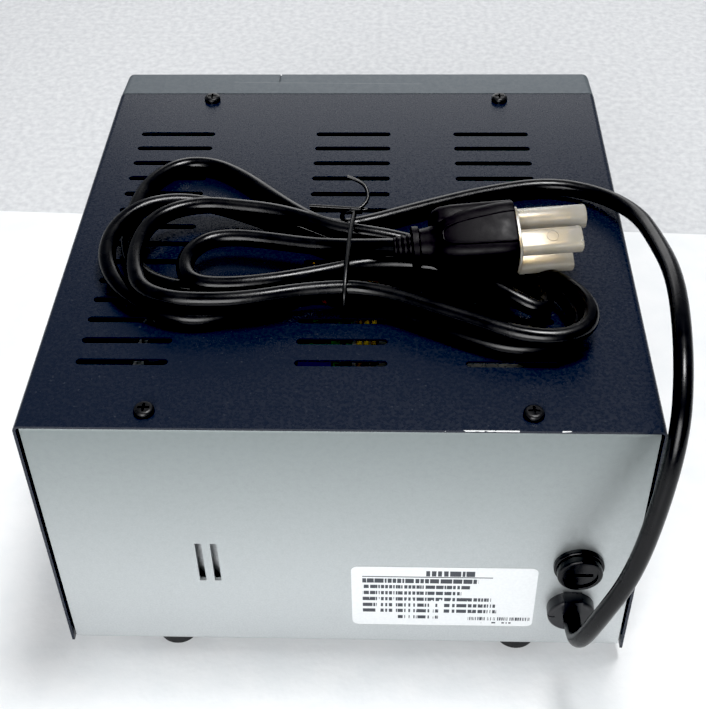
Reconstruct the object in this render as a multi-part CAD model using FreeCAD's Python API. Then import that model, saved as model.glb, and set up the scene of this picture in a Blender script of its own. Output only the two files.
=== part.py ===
import FreeCAD, Part
import math
import os

# Bench power supply, in millimetres.  +Z is up and the front panel faces -Y.
# The origin is on the table, under the middle of the case.
V = FreeCAD.Vector
X_AXIS = V(1, 0, 0)
Y_AXIS = V(0, 1, 0)
Z_AXIS = V(0, 0, 1)

# ---------------------------------------------------------------- driving dimensions
WIDTH = 210.0               # over the painted cover
HEIGHT = 116.6              # chassis underside to the top of the cover
COVER_LENGTH = 207.4        # rear edge to the bezel seam
BEZEL_DEPTH = 18.9
FOOT_HEIGHT = 6.0
COVER_SHEET = 1.0
CHASSIS_SHEET = 1.5
REAR_REACH = 4.2            # fuse cap past the cover's rear edge
FRONT_REACH = 20.0          # binding posts past the bezel's front

REAR = (COVER_LENGTH + BEZEL_DEPTH + FRONT_REACH - REAR_REACH) / 2
SEAM = REAR - COVER_LENGTH
FRONT = SEAM - BEZEL_DEPTH
FLOOR = FOOT_HEIGHT
TOP = FLOOR + HEIGHT
PANEL_OUT = REAR - 1.0      # outer face of the rear panel
PANEL_IN = PANEL_OUT - CHASSIS_SHEET
CHASSIS_HALF = WIDTH / 2 - COVER_SHEET - 0.8
CHASSIS_TOP = TOP - COVER_SHEET - 0.2
SUBPANEL_FRONT = SEAM + 1.0
SUBPANEL_BACK = SUBPANEL_FRONT + CHASSIS_SHEET
PANEL_FACE = FRONT + 3.0    # the front panel is recessed in the bezel
PANEL_THICK = 2.0
FLOOR_IN = FLOOR + CHASSIS_SHEET

VENT_LENGTH = 31.4
VENT_WIDTH = 3.0
VENT_ROWS = 14
VENT_PITCH = 11.02
VENT_FIRST = 31.2           # first row, from the rear edge
VENT_COLUMNS = (74.4, 0.0, -57.8)
COVER_SCREW_X = 63.0
COVER_SCREW_Y = (REAR - 7.2, REAR - 202.2)
SIDE_SCREW_Z = TOP - 54.0
SIDE_SCREW_Y = (REAR - 9.0, SEAM + 9.0)
SCREW_R = 2.0
SCREW_HEAD_R = 3.45
SCREW_HEAD_H = 2.2

FUSE_X = -83.8
FUSE_Z = TOP - 68.5
RELIEF_X = -83.1
RELIEF_Z = TOP - 92.5
LABEL = (-70.0, -3.0, TOP - 105.0, TOP - 70.7)
REAR_SLOTS = (50.85, 45.4)
REAR_SLOT_WIDTH = 2.4
REAR_SLOT_Z = (TOP - 80.0, TOP - 59.2)

FOOT_X = 65.5
FOOT_IN = 11.0
FOOT_Y = (REAR - FOOT_IN, SEAM + FOOT_IN)
FOOT_R = 8.5

WINDOW = (-72.0, 72.0, 84.0, 108.0)     # x and z of the display opening
KNOB_X = (-69.0, -23.0, 23.0, 69.0)
KNOB_Z = 64.0
KNOB_R = 10.5
LED_X = (-46.0, 0.0, 46.0)
LED_Z = 79.0
ROCKER_X = -80.0
POST_Z = 31.0
POST_PITCH = 19.05
POST_X = (40.0 - POST_PITCH, 40.0, 40.0 + POST_PITCH)
THREAD_R = 3.0
BANANA_R = 2.0
BANANA_DEPTH = 16.0
RUN_GAP = 0.05

CORD_R = 3.175
PLUG_START = V(-24.0, REAR - 72.6, TOP + 18.0)      # where its collar begins
PLUG_AXIS = V(-1.0, -0.09, 0.03)
PLUG_ROLL = 22.0            # how far the earth pin is lifted from level


# ---------------------------------------------------------------- small helpers
def block(x0, x1, y0, y1, z0, z1):
    return Part.makeBox(x1 - x0, y1 - y0, z1 - z0, V(x0, y0, z0))


def rod(radius, length, start, axis):
    return Part.makeCylinder(radius, length, start, axis)


def ring(outer, inner, length, start, axis):
    return rod(outer, length, start, axis).cut(rod(inner, length, start, axis))


def fuse(shapes):
    whole = shapes[0]
    for shape in shapes[1:]:
        whole = whole.fuse(shape)
    return whole.removeSplitter()


def group(shapes):
    return Part.makeCompound(shapes)


def hexagon(across_flats, length, start, axis):
    radius = across_flats / math.sqrt(3)
    corners = [V(radius * math.cos(math.radians(60 * k)), radius * math.sin(math.radians(60 * k)), 0)
               for k in range(7)]
    prism = Part.Face(Part.makePolygon(corners)).extrude(V(0, 0, length))
    prism.Placement = FreeCAD.Placement(start, FreeCAD.Rotation(Z_AXIS, axis))
    return prism


def rounded_rectangle(width, height, radius):
    """A wire in the XY plane, centred on the origin."""
    a = width / 2
    b = height / 2
    r = radius
    d = r * (1 - math.sqrt(0.5))
    points = [V(-a + r, -b, 0), V(a - r, -b, 0), V(a, -b + r, 0), V(a, b - r, 0),
              V(a - r, b, 0), V(-a + r, b, 0), V(-a, b - r, 0), V(-a, -b + r, 0)]
    middles = [V(a - d, -b + d, 0), V(a - d, b - d, 0), V(-a + d, b - d, 0), V(-a + d, -b + d, 0)]
    edges = []
    for k in range(4):
        start = points[2 * k]
        end = points[2 * k + 1]
        after = points[(2 * k + 2) % 8]
        edges.append(Part.LineSegment(start, end).toShape())
        edges.append(Part.Arc(end, middles[k], after).toShape())
    return Part.Wire(edges)


def slab(width, height, radius, depth, start, axis):
    """A plate with rounded corners: width along X, its start face centred on start."""
    plate = Part.Face(rounded_rectangle(width, height, radius)).extrude(V(0, 0, depth))
    if axis.z == 0:
        plate.rotate(V(0, 0, 0), X_AXIS, 90 if axis.y < 0 else -90)
    plate.translate(start)
    return plate


def bent_sheet(corners, thickness, bend, width, along):
    """Sheet metal: a path of straight runs with rounded bends, thickened and extruded."""
    edges = []
    last = corners[0]
    for k in range(1, len(corners) - 1):
        back = (corners[k - 1] - corners[k]).normalize()
        ahead = (corners[k + 1] - corners[k]).normalize()
        start = corners[k] + back * bend
        end = corners[k] + ahead * bend
        centre = corners[k] + (back + ahead) * bend
        middle = centre + (corners[k] - centre).normalize() * bend
        edges.append(Part.LineSegment(last, start).toShape())
        edges.append(Part.Arc(start, middle, end).toShape())
        last = end
    edges.append(Part.LineSegment(last, corners[-1]).toShape())
    strip = Part.Wire(edges).makeOffset2D(-thickness, 0, True, True)
    return strip.extrude(along * width)


def pan_screw(start, axis, length, radius=SCREW_R, head_r=SCREW_HEAD_R, head_h=SCREW_HEAD_H):
    """A pan-head cross-recess screw; start is under the head and axis points out of the head."""
    head = rod(head_r, head_h, V(0, 0, 0), Z_AXIS)
    head = head.makeFillet(head_h * 0.6, [e for e in head.Edges if e.BoundBox.ZMin > head_h * 0.9])
    shank = rod(radius, length, V(0, 0, -length), Z_AXIS)
    recess = [block(-head_r * 0.55, head_r * 0.55, -0.4, 0.4, head_h * 0.45, head_h + 1),
              block(-0.4, 0.4, -head_r * 0.55, head_r * 0.55, head_h * 0.45, head_h + 1)]
    screw = head.fuse(shank).cut(recess[0]).cut(recess[1])
    screw.Placement = FreeCAD.Placement(start, FreeCAD.Rotation(Z_AXIS, axis))
    return screw


def wire_run(points, radius):
    """A stiff insulated wire: straight runs joined by round elbows."""
    pieces = []
    for start, end in zip(points, points[1:]):
        pieces.append(rod(radius, (end - start).Length, start, end - start))
        pieces.append(Part.makeSphere(radius, end))
    return fuse(pieces[:-1])


# ---------------------------------------------------------------- case
def make_chassis():
    corners = [V(0, SUBPANEL_BACK + 0.2, FLOOR), V(0, PANEL_OUT, FLOOR),
               V(0, PANEL_OUT, CHASSIS_TOP), V(0, PANEL_OUT - 16, CHASSIS_TOP)]
    shell = bent_sheet(corners, CHASSIS_SHEET, 2.0, 2 * CHASSIS_HALF, X_AXIS)
    shell.translate(V(-CHASSIS_HALF, 0, 0))
    cheeks = [block(side * CHASSIS_HALF - (CHASSIS_SHEET if side > 0 else 0),
                    side * CHASSIS_HALF + (0 if side > 0 else CHASSIS_SHEET),
                    PANEL_OUT - 18, PANEL_IN + 0.3, FLOOR + 10, CHASSIS_TOP - 10) for side in (-1, 1)]
    rails = [block(side * CHASSIS_HALF - (CHASSIS_SHEET if side > 0 else 0),
                   side * CHASSIS_HALF + (0 if side > 0 else CHASSIS_SHEET),
                   SUBPANEL_BACK + 14, PANEL_OUT - 22, FLOOR + 0.5, FLOOR + 12) for side in (-1, 1)]
    shell = fuse([shell] + cheeks + rails)
    cuts = [rod(6.4, 8, V(FUSE_X, PANEL_OUT + 2, FUSE_Z), -Y_AXIS),
            rod(6.35, 8, V(RELIEF_X, PANEL_OUT + 2, RELIEF_Z), -Y_AXIS)]
    for x in REAR_SLOTS:
        cuts.append(block(x - REAR_SLOT_WIDTH / 2, x + REAR_SLOT_WIDTH / 2, PANEL_IN - 1, PANEL_OUT + 1,
                          *REAR_SLOT_Z))
    for x in (-COVER_SCREW_X, COVER_SCREW_X):
        cuts.append(rod(SCREW_R, 6, V(x, COVER_SCREW_Y[0], CHASSIS_TOP - 4), Z_AXIS))
    for side in (-1, 1):
        cuts.append(rod(SCREW_R, 8, V(side * (CHASSIS_HALF - 5), SIDE_SCREW_Y[0], SIDE_SCREW_Z), side * X_AXIS))
    for x, y in foot_places():
        cuts.append(rod(1.75, 4, V(x, y, FLOOR - 1), Z_AXIS))
    return shell.cut(group(cuts))


def make_front_subpanel():
    plate = block(-CHASSIS_HALF, CHASSIS_HALF, SUBPANEL_FRONT, SUBPANEL_BACK, FLOOR + 3, CHASSIS_TOP)
    flange = block(-CHASSIS_HALF, CHASSIS_HALF, SUBPANEL_FRONT, SUBPANEL_FRONT + 12,
                   CHASSIS_TOP - CHASSIS_SHEET, CHASSIS_TOP)
    foot = block(-CHASSIS_HALF + 3, CHASSIS_HALF - 3, SUBPANEL_FRONT, SUBPANEL_FRONT + 12,
                 FLOOR_IN, FLOOR_IN + CHASSIS_SHEET)
    cheeks = [block(side * CHASSIS_HALF - (CHASSIS_SHEET if side > 0 else 0),
                    side * CHASSIS_HALF + (0 if side > 0 else CHASSIS_SHEET),
                    SUBPANEL_FRONT, SUBPANEL_FRONT + 13, FLOOR + 16, CHASSIS_TOP) for side in (-1, 1)]
    plate = fuse([plate, flange, foot] + cheeks)
    x0, x1, z0, z1 = WINDOW
    cuts = [block(x0 + 3, x1 - 3, SUBPANEL_FRONT - 1, SUBPANEL_BACK + 0.01, z0 + 2, z1 - 2),
            block(ROCKER_X - 6.6, ROCKER_X + 6.6, SUBPANEL_FRONT - 1, SUBPANEL_BACK + 0.01, POST_Z - 9.7, POST_Z + 9.7)]
    for x in KNOB_X:
        cuts.append(rod(4.0, 6, V(x, SUBPANEL_FRONT - 2, KNOB_Z), Y_AXIS))
    for x in POST_X:
        cuts.append(rod(5.0, 6, V(x, SUBPANEL_FRONT - 2, POST_Z), Y_AXIS))
    for x in LED_X:
        cuts.append(rod(1.6, 6, V(x, SUBPANEL_FRONT - 2, LED_Z), Y_AXIS))
    for x in (-COVER_SCREW_X, COVER_SCREW_X):
        cuts.append(rod(SCREW_R, 6, V(x, COVER_SCREW_Y[1], CHASSIS_TOP - 4), Z_AXIS))
    for side in (-1, 1):
        cuts.append(rod(SCREW_R, 8, V(side * (CHASSIS_HALF - 5), SIDE_SCREW_Y[1], SIDE_SCREW_Z), side * X_AXIS))
    for place in bezel_screw_places():
        cuts.append(rod(1.5, 6, V(place[0], SUBPANEL_FRONT - 2, place[1]), Y_AXIS))
    for x, y in foot_places():
        cuts.append(rod(2.6, 4, V(x, y, FLOOR_IN - 1), Z_AXIS))
    return plate.cut(group(cuts))


def make_top_cover():
    half = WIDTH / 2
    corners = [V(-half, 0, FLOOR), V(-half, 0, TOP), V(half, 0, TOP), V(half, 0, FLOOR)]
    cover = bent_sheet(corners, COVER_SHEET, 2.2, COVER_LENGTH, Y_AXIS)
    cover.translate(V(0, SEAM, 0))
    cuts = []
    for x in VENT_COLUMNS:
        for row in range(VENT_ROWS):
            y = REAR - VENT_FIRST - row * VENT_PITCH
            cuts.append(slab(VENT_LENGTH, VENT_WIDTH, VENT_WIDTH / 2 - 0.01, 4, V(x, y, TOP - 3), Z_AXIS))
    for x in (-COVER_SCREW_X, COVER_SCREW_X):
        for y in COVER_SCREW_Y:
            cuts.append(rod(SCREW_R + 0.2, 6, V(x, y, TOP - 4), Z_AXIS))
    for side in (-1, 1):
        for y in SIDE_SCREW_Y:
            cuts.append(rod(SCREW_R + 0.2, 6, V(side * (half - 3), y, SIDE_SCREW_Z), side * X_AXIS))
    return cover.cut(group(cuts))


def bezel_screw_places():
    return [(x, z) for x in (-95.0, 95.0) for z in (FLOOR + 10, TOP - 12)]


def make_front_bezel():
    gap = 0.7
    back = rounded_rectangle(WIDTH, HEIGHT, 2.6)
    front = rounded_rectangle(WIDTH - 1.0, HEIGHT - 0.8, 3.2)
    middle_z = (FLOOR + TOP) / 2
    for wire, y in ((back, SEAM - gap), (front, FRONT)):
        wire.rotate(V(0, 0, 0), X_AXIS, 90)
        wire.translate(V(0, y, middle_z))
    body = Part.makeLoft([back, front], True, True)
    front_edges = [e for e in body.Edges if e.BoundBox.YMax < FRONT + 0.01]
    body = body.makeFillet(1.2, front_edges)
    opening = slab(WIDTH - 13, HEIGHT - 13, 2.0, BEZEL_DEPTH + 4, V(0, FRONT - 1, middle_z), Y_AXIS)
    hollow = slab(WIDTH - 7, HEIGHT - 7, 1.5, BEZEL_DEPTH, V(0, PANEL_FACE, middle_z), Y_AXIS)
    bosses = [rod(3.6, SEAM - gap - PANEL_FACE - PANEL_THICK - 0.1, V(x, PANEL_FACE + PANEL_THICK + 0.1, z), Y_AXIS)
              for x, z in bezel_screw_places()]
    webs = [block(min(x, side * 104), max(x, side * 104), PANEL_FACE + PANEL_THICK + 0.1, SEAM - gap, z - 1, z + 1)
            for (x, z), side in zip(bezel_screw_places(), (-1, -1, 1, 1))]
    holes = [rod(1.5, 9, V(x, SEAM - gap - 9, z), Y_AXIS) for x, z in bezel_screw_places()]
    nick = block(34.0, 34.8, FRONT - 1, FRONT + 8.0, TOP - 1.5, TOP + 1)
    frame = body.cut(opening).cut(hollow)
    frame = fuse([frame] + bosses + [web.common(body) for web in webs])
    return frame.cut(group(holes)).cut(nick)


def make_front_panel():
    middle_z = (FLOOR + TOP) / 2
    plate = slab(WIDTH - 7.4, HEIGHT - 7.4, 1.2, PANEL_THICK, V(0, PANEL_FACE, middle_z), Y_AXIS)
    x0, x1, z0, z1 = WINDOW
    cuts = [block(x0, x1, PANEL_FACE - 1, PANEL_FACE + PANEL_THICK + 1, z0, z1),
            block(ROCKER_X - 6.6, ROCKER_X + 6.6, PANEL_FACE - 1, PANEL_FACE + PANEL_THICK + 1,
                  POST_Z - 9.7, POST_Z + 9.7)]
    for x in KNOB_X:
        cuts.append(rod(5.0, 6, V(x, PANEL_FACE - 2, KNOB_Z), Y_AXIS))
    for x in POST_X:
        cuts.append(rod(4.2, 6, V(x, PANEL_FACE - 2, POST_Z), Y_AXIS))
    for x in LED_X:
        cuts.append(rod(1.55, 6, V(x, PANEL_FACE - 2, LED_Z), Y_AXIS))
    return plate.cut(group(cuts))


def make_display_window():
    x0, x1, z0, z1 = WINDOW
    lens = block(x0 + 0.1, x1 - 0.1, PANEL_FACE + 0.4, PANEL_FACE + PANEL_THICK, z0 + 0.1, z1 - 0.1)
    lip = block(x0 - 2, x1 + 2, PANEL_FACE + PANEL_THICK, PANEL_FACE + PANEL_THICK + 1, z0 - 2, z1 + 2)
    return fuse([lens, lip])


def foot_places():
    return [(x, y) for x in (-FOOT_X, FOOT_X) for y in FOOT_Y]


def make_feet():
    feet = []
    for x, y in foot_places():
        foot = Part.makeCone(FOOT_R - 0.8, FOOT_R, FOOT_HEIGHT, V(x, y, 0), Z_AXIS)
        foot = foot.cut(rod(4.0, 3.0, V(x, y, -0.01), Z_AXIS)).cut(rod(1.75, 10, V(x, y, -1), Z_AXIS))
        feet.append(foot)
    return group(feet)


def make_feet_screws():
    screws = []
    for x, y in foot_places():
        screws.append(pan_screw(V(x, y, 2.99), -Z_AXIS, 6.5, 1.75, 3.3, 2.0))
    return group(screws)


def make_cover_screws():
    screws = [pan_screw(V(x, y, TOP), Z_AXIS, 6.0) for x in (-COVER_SCREW_X, COVER_SCREW_X) for y in COVER_SCREW_Y]
    for side in (-1, 1):
        for y in SIDE_SCREW_Y:
            screws.append(pan_screw(V(side * WIDTH / 2, y, SIDE_SCREW_Z), side * X_AXIS, 6.0))
    return group(screws)


# ---------------------------------------------------------------- rear panel fittings
def make_rating_label():
    x0, x1, z0, z1 = LABEL
    return slab(x1 - x0, z1 - z0, 2.5, 0.15, V((x0 + x1) / 2, PANEL_OUT, (z0 + z1) / 2), Y_AXIS)


FLANGE_THICK = 2.0


def make_fuse_holder():
    flange = ring(8.95, 6.0, FLANGE_THICK, V(FUSE_X, PANEL_OUT, FUSE_Z), Y_AXIS)
    flange = flange.makeFillet(0.8, [e for e in flange.Edges
                                     if e.BoundBox.YMin > PANEL_OUT + 1.9 and e.BoundBox.XLength > 17])
    barrel = ring(6.35, 5.2, 29.0, V(FUSE_X, PANEL_OUT, FUSE_Z), -Y_AXIS)
    end = rod(6.35, 2.0, V(FUSE_X, PANEL_OUT - 29.0, FUSE_Z), -Y_AXIS)
    lug = block(FUSE_X - 2.4, FUSE_X + 2.4, PANEL_OUT - 37.0, PANEL_OUT - 31.0, FUSE_Z - 0.4, FUSE_Z + 0.4)
    collar = ring(6.35, 5.2, FLANGE_THICK, V(FUSE_X, PANEL_OUT, FUSE_Z), Y_AXIS)
    return fuse([flange, collar, barrel, end, lug])


def make_fuse_nut():
    nut = hexagon(16.0, 4.0, V(FUSE_X, PANEL_IN, FUSE_Z), -Y_AXIS)
    return nut.cut(rod(6.35, 6, V(FUSE_X, PANEL_IN + 1, FUSE_Z), -Y_AXIS))


def make_fuse_cap():
    """A low round cap with a dished face and a coin slot; its sleeve carries the fuse."""
    face = PANEL_OUT + FLANGE_THICK
    height = 3.0
    cap = rod(8.0, height, V(FUSE_X, face + 0.2, FUSE_Z), Y_AXIS)
    cap = cap.makeFillet(0.8, [e for e in cap.Edges if e.BoundBox.YMin > face + 0.1 + height])
    dish = rod(6.25, 1.2, V(FUSE_X, face + height - 0.5, FUSE_Z), Y_AXIS)
    slot = block(FUSE_X - 4.6, FUSE_X + 4.6, face + height - 1.7, face + 8, FUSE_Z - 0.7, FUSE_Z + 0.7)
    sleeve = rod(4.9, 10.3, V(FUSE_X, face + 0.3, FUSE_Z), -Y_AXIS)
    bore = rod(2.65, 12.0, V(FUSE_X, face - 1.0, FUSE_Z), -Y_AXIS)
    return cap.cut(dish).cut(slot).fuse(sleeve).cut(bore).removeSplitter()


def make_fuse():
    face = PANEL_OUT + 1.0
    glass = rod(2.35, 14.0, V(FUSE_X, face - 3.0, FUSE_Z), -Y_AXIS)
    ends = [rod(2.6, 4.0, V(FUSE_X, face, FUSE_Z), -Y_AXIS), rod(2.6, 4.0, V(FUSE_X, face - 16.0, FUSE_Z), -Y_AXIS)]
    return fuse([glass] + ends)


RELIEF_R = 8.6
RELIEF_PROUD = 4.8


def make_strain_relief():
    """A two-half bushing squeezed round the cord, with a keeper tongue down its head."""
    start = V(RELIEF_X, PANEL_OUT, RELIEF_Z)
    head = rod(RELIEF_R, RELIEF_PROUD, start, Y_AXIS)
    head = head.makeFillet(1.2, [e for e in head.Edges if e.BoundBox.YMin > PANEL_OUT + RELIEF_PROUD - 0.1])
    tongue = block(RELIEF_X - 3.4, RELIEF_X + 3.4, PANEL_OUT + 0.4, PANEL_OUT + RELIEF_PROUD + 0.3,
                   RELIEF_Z + CORD_R, RELIEF_Z + RELIEF_R + 0.3)
    throat = rod(6.3, 9.0, start, -Y_AXIS)
    catch = rod(7.2, 3.0, V(RELIEF_X, PANEL_IN - 0.05, RELIEF_Z), -Y_AXIS)
    whole = fuse([head, tongue, throat, catch])
    split = block(RELIEF_X - 12, RELIEF_X + 12, PANEL_OUT + 0.8, PANEL_OUT + 12, RELIEF_Z - 0.25, RELIEF_Z + 0.25)
    split = split.cut(rod(6.0, 14, V(RELIEF_X, PANEL_OUT - 1, RELIEF_Z), Y_AXIS))
    return whole.cut(rod(CORD_R, 30, V(RELIEF_X, PANEL_OUT - 15, RELIEF_Z), Y_AXIS)).cut(split)


# ---------------------------------------------------------------- inside
HEATSINK_X = (28.0, 98.0)
HEATSINK_Z = (FLOOR_IN + 6.0, TOP - 22.0)
HEATSINK_BACK = PANEL_IN - 3.0


def make_heatsink():
    x0, x1 = HEATSINK_X
    base = block(x0, x1, HEATSINK_BACK - 5, HEATSINK_BACK, *HEATSINK_Z)
    fins = [block(x0 + 5.0 * k, x0 + 5.0 * k + 1.8, HEATSINK_BACK - 34, HEATSINK_BACK - 4.9, *HEATSINK_Z)
            for k in range(3, 14)]
    foot = block(x0, x1, HEATSINK_BACK - 20, HEATSINK_BACK, FLOOR_IN, HEATSINK_Z[0])
    clear = [rod(2.6, 4, V(x, y, FLOOR_IN - 1), Z_AXIS) for x, y in foot_places()]
    return fuse([base, foot] + fins).cut(group(clear))


def make_power_transistors():
    parts = []
    for z in (HEATSINK_Z[0] + 22, HEATSINK_Z[0] + 54):
        y = HEATSINK_BACK - 5
        x = HEATSINK_X[0] + 6
        parts.append(block(x - 5, x + 8, y - 4.8, y, z - 10, z + 10))
    return group(parts)


TRAFO_X = -52.0
TRAFO_Y = 30.0
TRAFO_W = 78.0
TRAFO_H = 65.0
TRAFO_STACK = 38.0
TRAFO_Z = FLOOR_IN


def make_transformer_core():
    y0 = TRAFO_Y - TRAFO_STACK / 2
    y1 = TRAFO_Y + TRAFO_STACK / 2
    x0 = TRAFO_X - TRAFO_W / 2
    core = block(x0, x0 + TRAFO_W, y0, y1, TRAFO_Z, TRAFO_Z + TRAFO_H)
    leg = TRAFO_W / 6
    windows = [block(x0 + leg + k * (2 * leg + leg), x0 + 2 * leg + k * (2 * leg + leg),
                     y0 - 1, y1 + 1, TRAFO_Z + leg, TRAFO_Z + TRAFO_H - leg) for k in (0, 1)]
    return core.cut(group(windows))


def make_transformer_coil():
    leg = TRAFO_W / 6
    y0 = TRAFO_Y - TRAFO_STACK / 2
    y1 = TRAFO_Y + TRAFO_STACK / 2
    z0 = TRAFO_Z + leg + 0.4
    z1 = TRAFO_Z + TRAFO_H - leg - 0.4
    outer = block(TRAFO_X - 2 * leg + 0.4, TRAFO_X + 2 * leg - 0.4, y0 - leg, y1 + leg, z0, z1)
    outer = outer.makeFillet(5.0, [e for e in outer.Edges if abs(e.BoundBox.ZLength - (z1 - z0)) < 0.1])
    inner = block(TRAFO_X - leg - 0.3, TRAFO_X + leg + 0.3, y0 - 0.3, y1 + 0.3, z0 - 1, z1 + 1)
    return outer.cut(inner)


def make_transformer_frame():
    """A steel strap over the core with a mounting ear on each side."""
    gap = 0.2
    sheet = 1.5
    y0 = TRAFO_Y - 10
    y1 = TRAFO_Y + 10
    x0 = TRAFO_X - TRAFO_W / 2 - gap
    x1 = TRAFO_X + TRAFO_W / 2 + gap
    z1 = TRAFO_Z + TRAFO_H + gap
    strap = [block(x0 - sheet, x1 + sheet, y0, y1, z1, z1 + sheet),
             block(x0 - sheet, x0, y0, y1, FLOOR_IN, z1 + sheet), block(x1, x1 + sheet, y0, y1, FLOOR_IN, z1 + sheet),
             block(x0 - 10, x0, y0, y1, FLOOR_IN, FLOOR_IN + sheet), block(x1, x1 + 10, y0, y1, FLOOR_IN, FLOOR_IN + sheet)]
    ears = [rod(2.0, 6, V(x, TRAFO_Y, FLOOR_IN - 1), Z_AXIS) for x in (x0 - 5.6, x1 + 5.6)]
    return fuse(strap).cut(group(ears))


def make_transformer_bolts():
    gap = 0.2
    places = [TRAFO_X - TRAFO_W / 2 - gap - 5.6, TRAFO_X + TRAFO_W / 2 + gap + 5.6]
    return group([pan_screw(V(x, TRAFO_Y, FLOOR_IN + 1.5), Z_AXIS, 1.4, 2.0, 3.6, 2.4) for x in places])


BOARD = (2.0, 96.0, -62.0, 66.0)        # x and y of the main board
BOARD_Z = FLOOR_IN + 9.0
BOARD_THICK = 1.6


def board_corners():
    x0, x1, y0, y1 = BOARD
    return [(x, y) for x in (x0 + 5, x1 - 5) for y in (y0 + 5, y1 - 5)]


def make_main_board():
    x0, x1, y0, y1 = BOARD
    plate = block(x0, x1, y0, y1, BOARD_Z, BOARD_Z + BOARD_THICK)
    return plate.cut(group([rod(1.6, 4, V(x, y, BOARD_Z - 1), Z_AXIS) for x, y in board_corners()]))


def make_standoffs():
    posts = []
    for x, y in board_corners():
        post = hexagon(5.5, BOARD_Z - FLOOR_IN, V(x, y, FLOOR_IN), Z_AXIS)
        posts.append(post.cut(rod(1.5, 7, V(x, y, BOARD_Z - 6.5), Z_AXIS)))
    return group(posts)


def make_machine_screws():
    """Eight alike: four hold the bezel to the subpanel and four hold the board to its standoffs."""
    places = [(V(x, SUBPANEL_BACK, z), Y_AXIS) for x, z in bezel_screw_places()]
    places += [(V(x, y, BOARD_Z + BOARD_THICK), Z_AXIS) for x, y in board_corners()]
    return group([pan_screw(place, axis, 6.0, 1.5, 2.8, 1.8) for place, axis in places])


def make_filter_capacitors():
    cans = []
    for x, y, radius, height in ((20, 48, 12.5, 42), (48, 48, 12.5, 42), (76, 44, 9.0, 32), (20, 18, 8.0, 26)):
        can = rod(radius, height, V(x, y, BOARD_Z + BOARD_THICK), Z_AXIS)
        can = can.makeFillet(1.2, [e for e in can.Edges if e.BoundBox.ZMin > BOARD_Z + height])
        cans.append(can)
    return group(cans)


def make_bridge_rectifier():
    z = BOARD_Z + BOARD_THICK
    body = block(44, 64, 14, 20, z + 6, z + 26)
    legs = [block(45.5 + 5.1 * k, 46.5 + 5.1 * k, 16.5, 17.5, z, z + 6.1) for k in range(4)]
    return fuse([body] + legs)


def make_relays():
    z = BOARD_Z + BOARD_THICK
    return group([block(x, x + 15, -14, 5, z, z + 15.5) for x in (10, 32, 54)])


def make_regulator_heatsinks():
    z = BOARD_Z + BOARD_THICK
    sinks = []
    for x in (74, 88):
        back = block(x, x + 1.6, -20, 8, z, z + 30)
        ribs = [block(x - 5, x + 0.2, -20 + 9 * k, -18.5 + 9 * k, z, z + 30) for k in range(4)]
        sinks.append(fuse([back] + ribs))
    return group(sinks)


def make_control_chips():
    z = BOARD_Z + BOARD_THICK
    chips = [block(x, x + 20, y, y + 7.6, z + 0.5, z + 4.0) for x in (12, 42) for y in (-46, -30)]
    pins = [block(x, x + 20, y - 0.6, y + 8.2, z, z + 0.5) for x in (12, 42) for y in (-46, -30)]
    return group([fuse([chip, pin]) for chip, pin in zip(chips, pins)])


DISPLAY_BOARD_FRONT = SUBPANEL_BACK + 8.0


def make_display_board():
    x0, x1, z0, z1 = WINDOW
    return block(x0 - 8, x1 + 8, DISPLAY_BOARD_FRONT, DISPLAY_BOARD_FRONT + 1.6, z0 - 9, z1 + 1)


def make_digit_block(centre_x):
    front = PANEL_FACE + PANEL_THICK + 1.3
    z = (WINDOW[2] + WINDOW[3]) / 2
    body = block(centre_x - 26, centre_x + 26, front, DISPLAY_BOARD_FRONT, z - 9.2, z + 9.2)
    return body


def make_indicator_leds():
    leds = []
    for x in LED_X:
        lens = rod(1.5, DISPLAY_BOARD_FRONT - PANEL_FACE, V(x, PANEL_FACE, LED_Z), Y_AXIS)
        leds.append(lens.fuse(Part.makeSphere(1.5, V(x, PANEL_FACE, LED_Z))).removeSplitter())
    return group(leds)


def make_potentiometers():
    pots = []
    for x in KNOB_X:
        can = rod(8.2, 9.0, V(x, SUBPANEL_BACK, KNOB_Z), Y_AXIS)
        bushing = rod(3.9, 9.0, V(x, SUBPANEL_BACK, KNOB_Z), -Y_AXIS)
        bore = rod(3.0 + RUN_GAP, 16.0, V(x, SUBPANEL_BACK + 5.0, KNOB_Z), -Y_AXIS)
        lugs = [block(x - 3.5 + 3 * k, x - 2.5 + 3 * k, SUBPANEL_BACK + 2, SUBPANEL_BACK + 3, KNOB_Z - 13, KNOB_Z - 6)
                for k in range(3)]
        pots.append(fuse([can, bushing] + lugs).cut(bore))
    return group(pots)


def make_potentiometer_nuts():
    nuts = []
    for x in KNOB_X:
        nut = hexagon(11.0, 2.4, V(x, SUBPANEL_FRONT, KNOB_Z), -Y_AXIS)
        nuts.append(nut.cut(rod(3.9, 6, V(x, SUBPANEL_FRONT + 1, KNOB_Z), -Y_AXIS)))
    return group(nuts)


def make_pot_shaft(x):
    start = SUBPANEL_BACK + 4.8
    length = start - (PANEL_FACE - 11.0)
    shaft = rod(3.0, length, V(x, start, KNOB_Z), -Y_AXIS)
    flat = block(x - 4, x + 4, PANEL_FACE - 12, PANEL_FACE - 1.5, KNOB_Z + 1.6, KNOB_Z + 4)
    return shaft.cut(flat)


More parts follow.
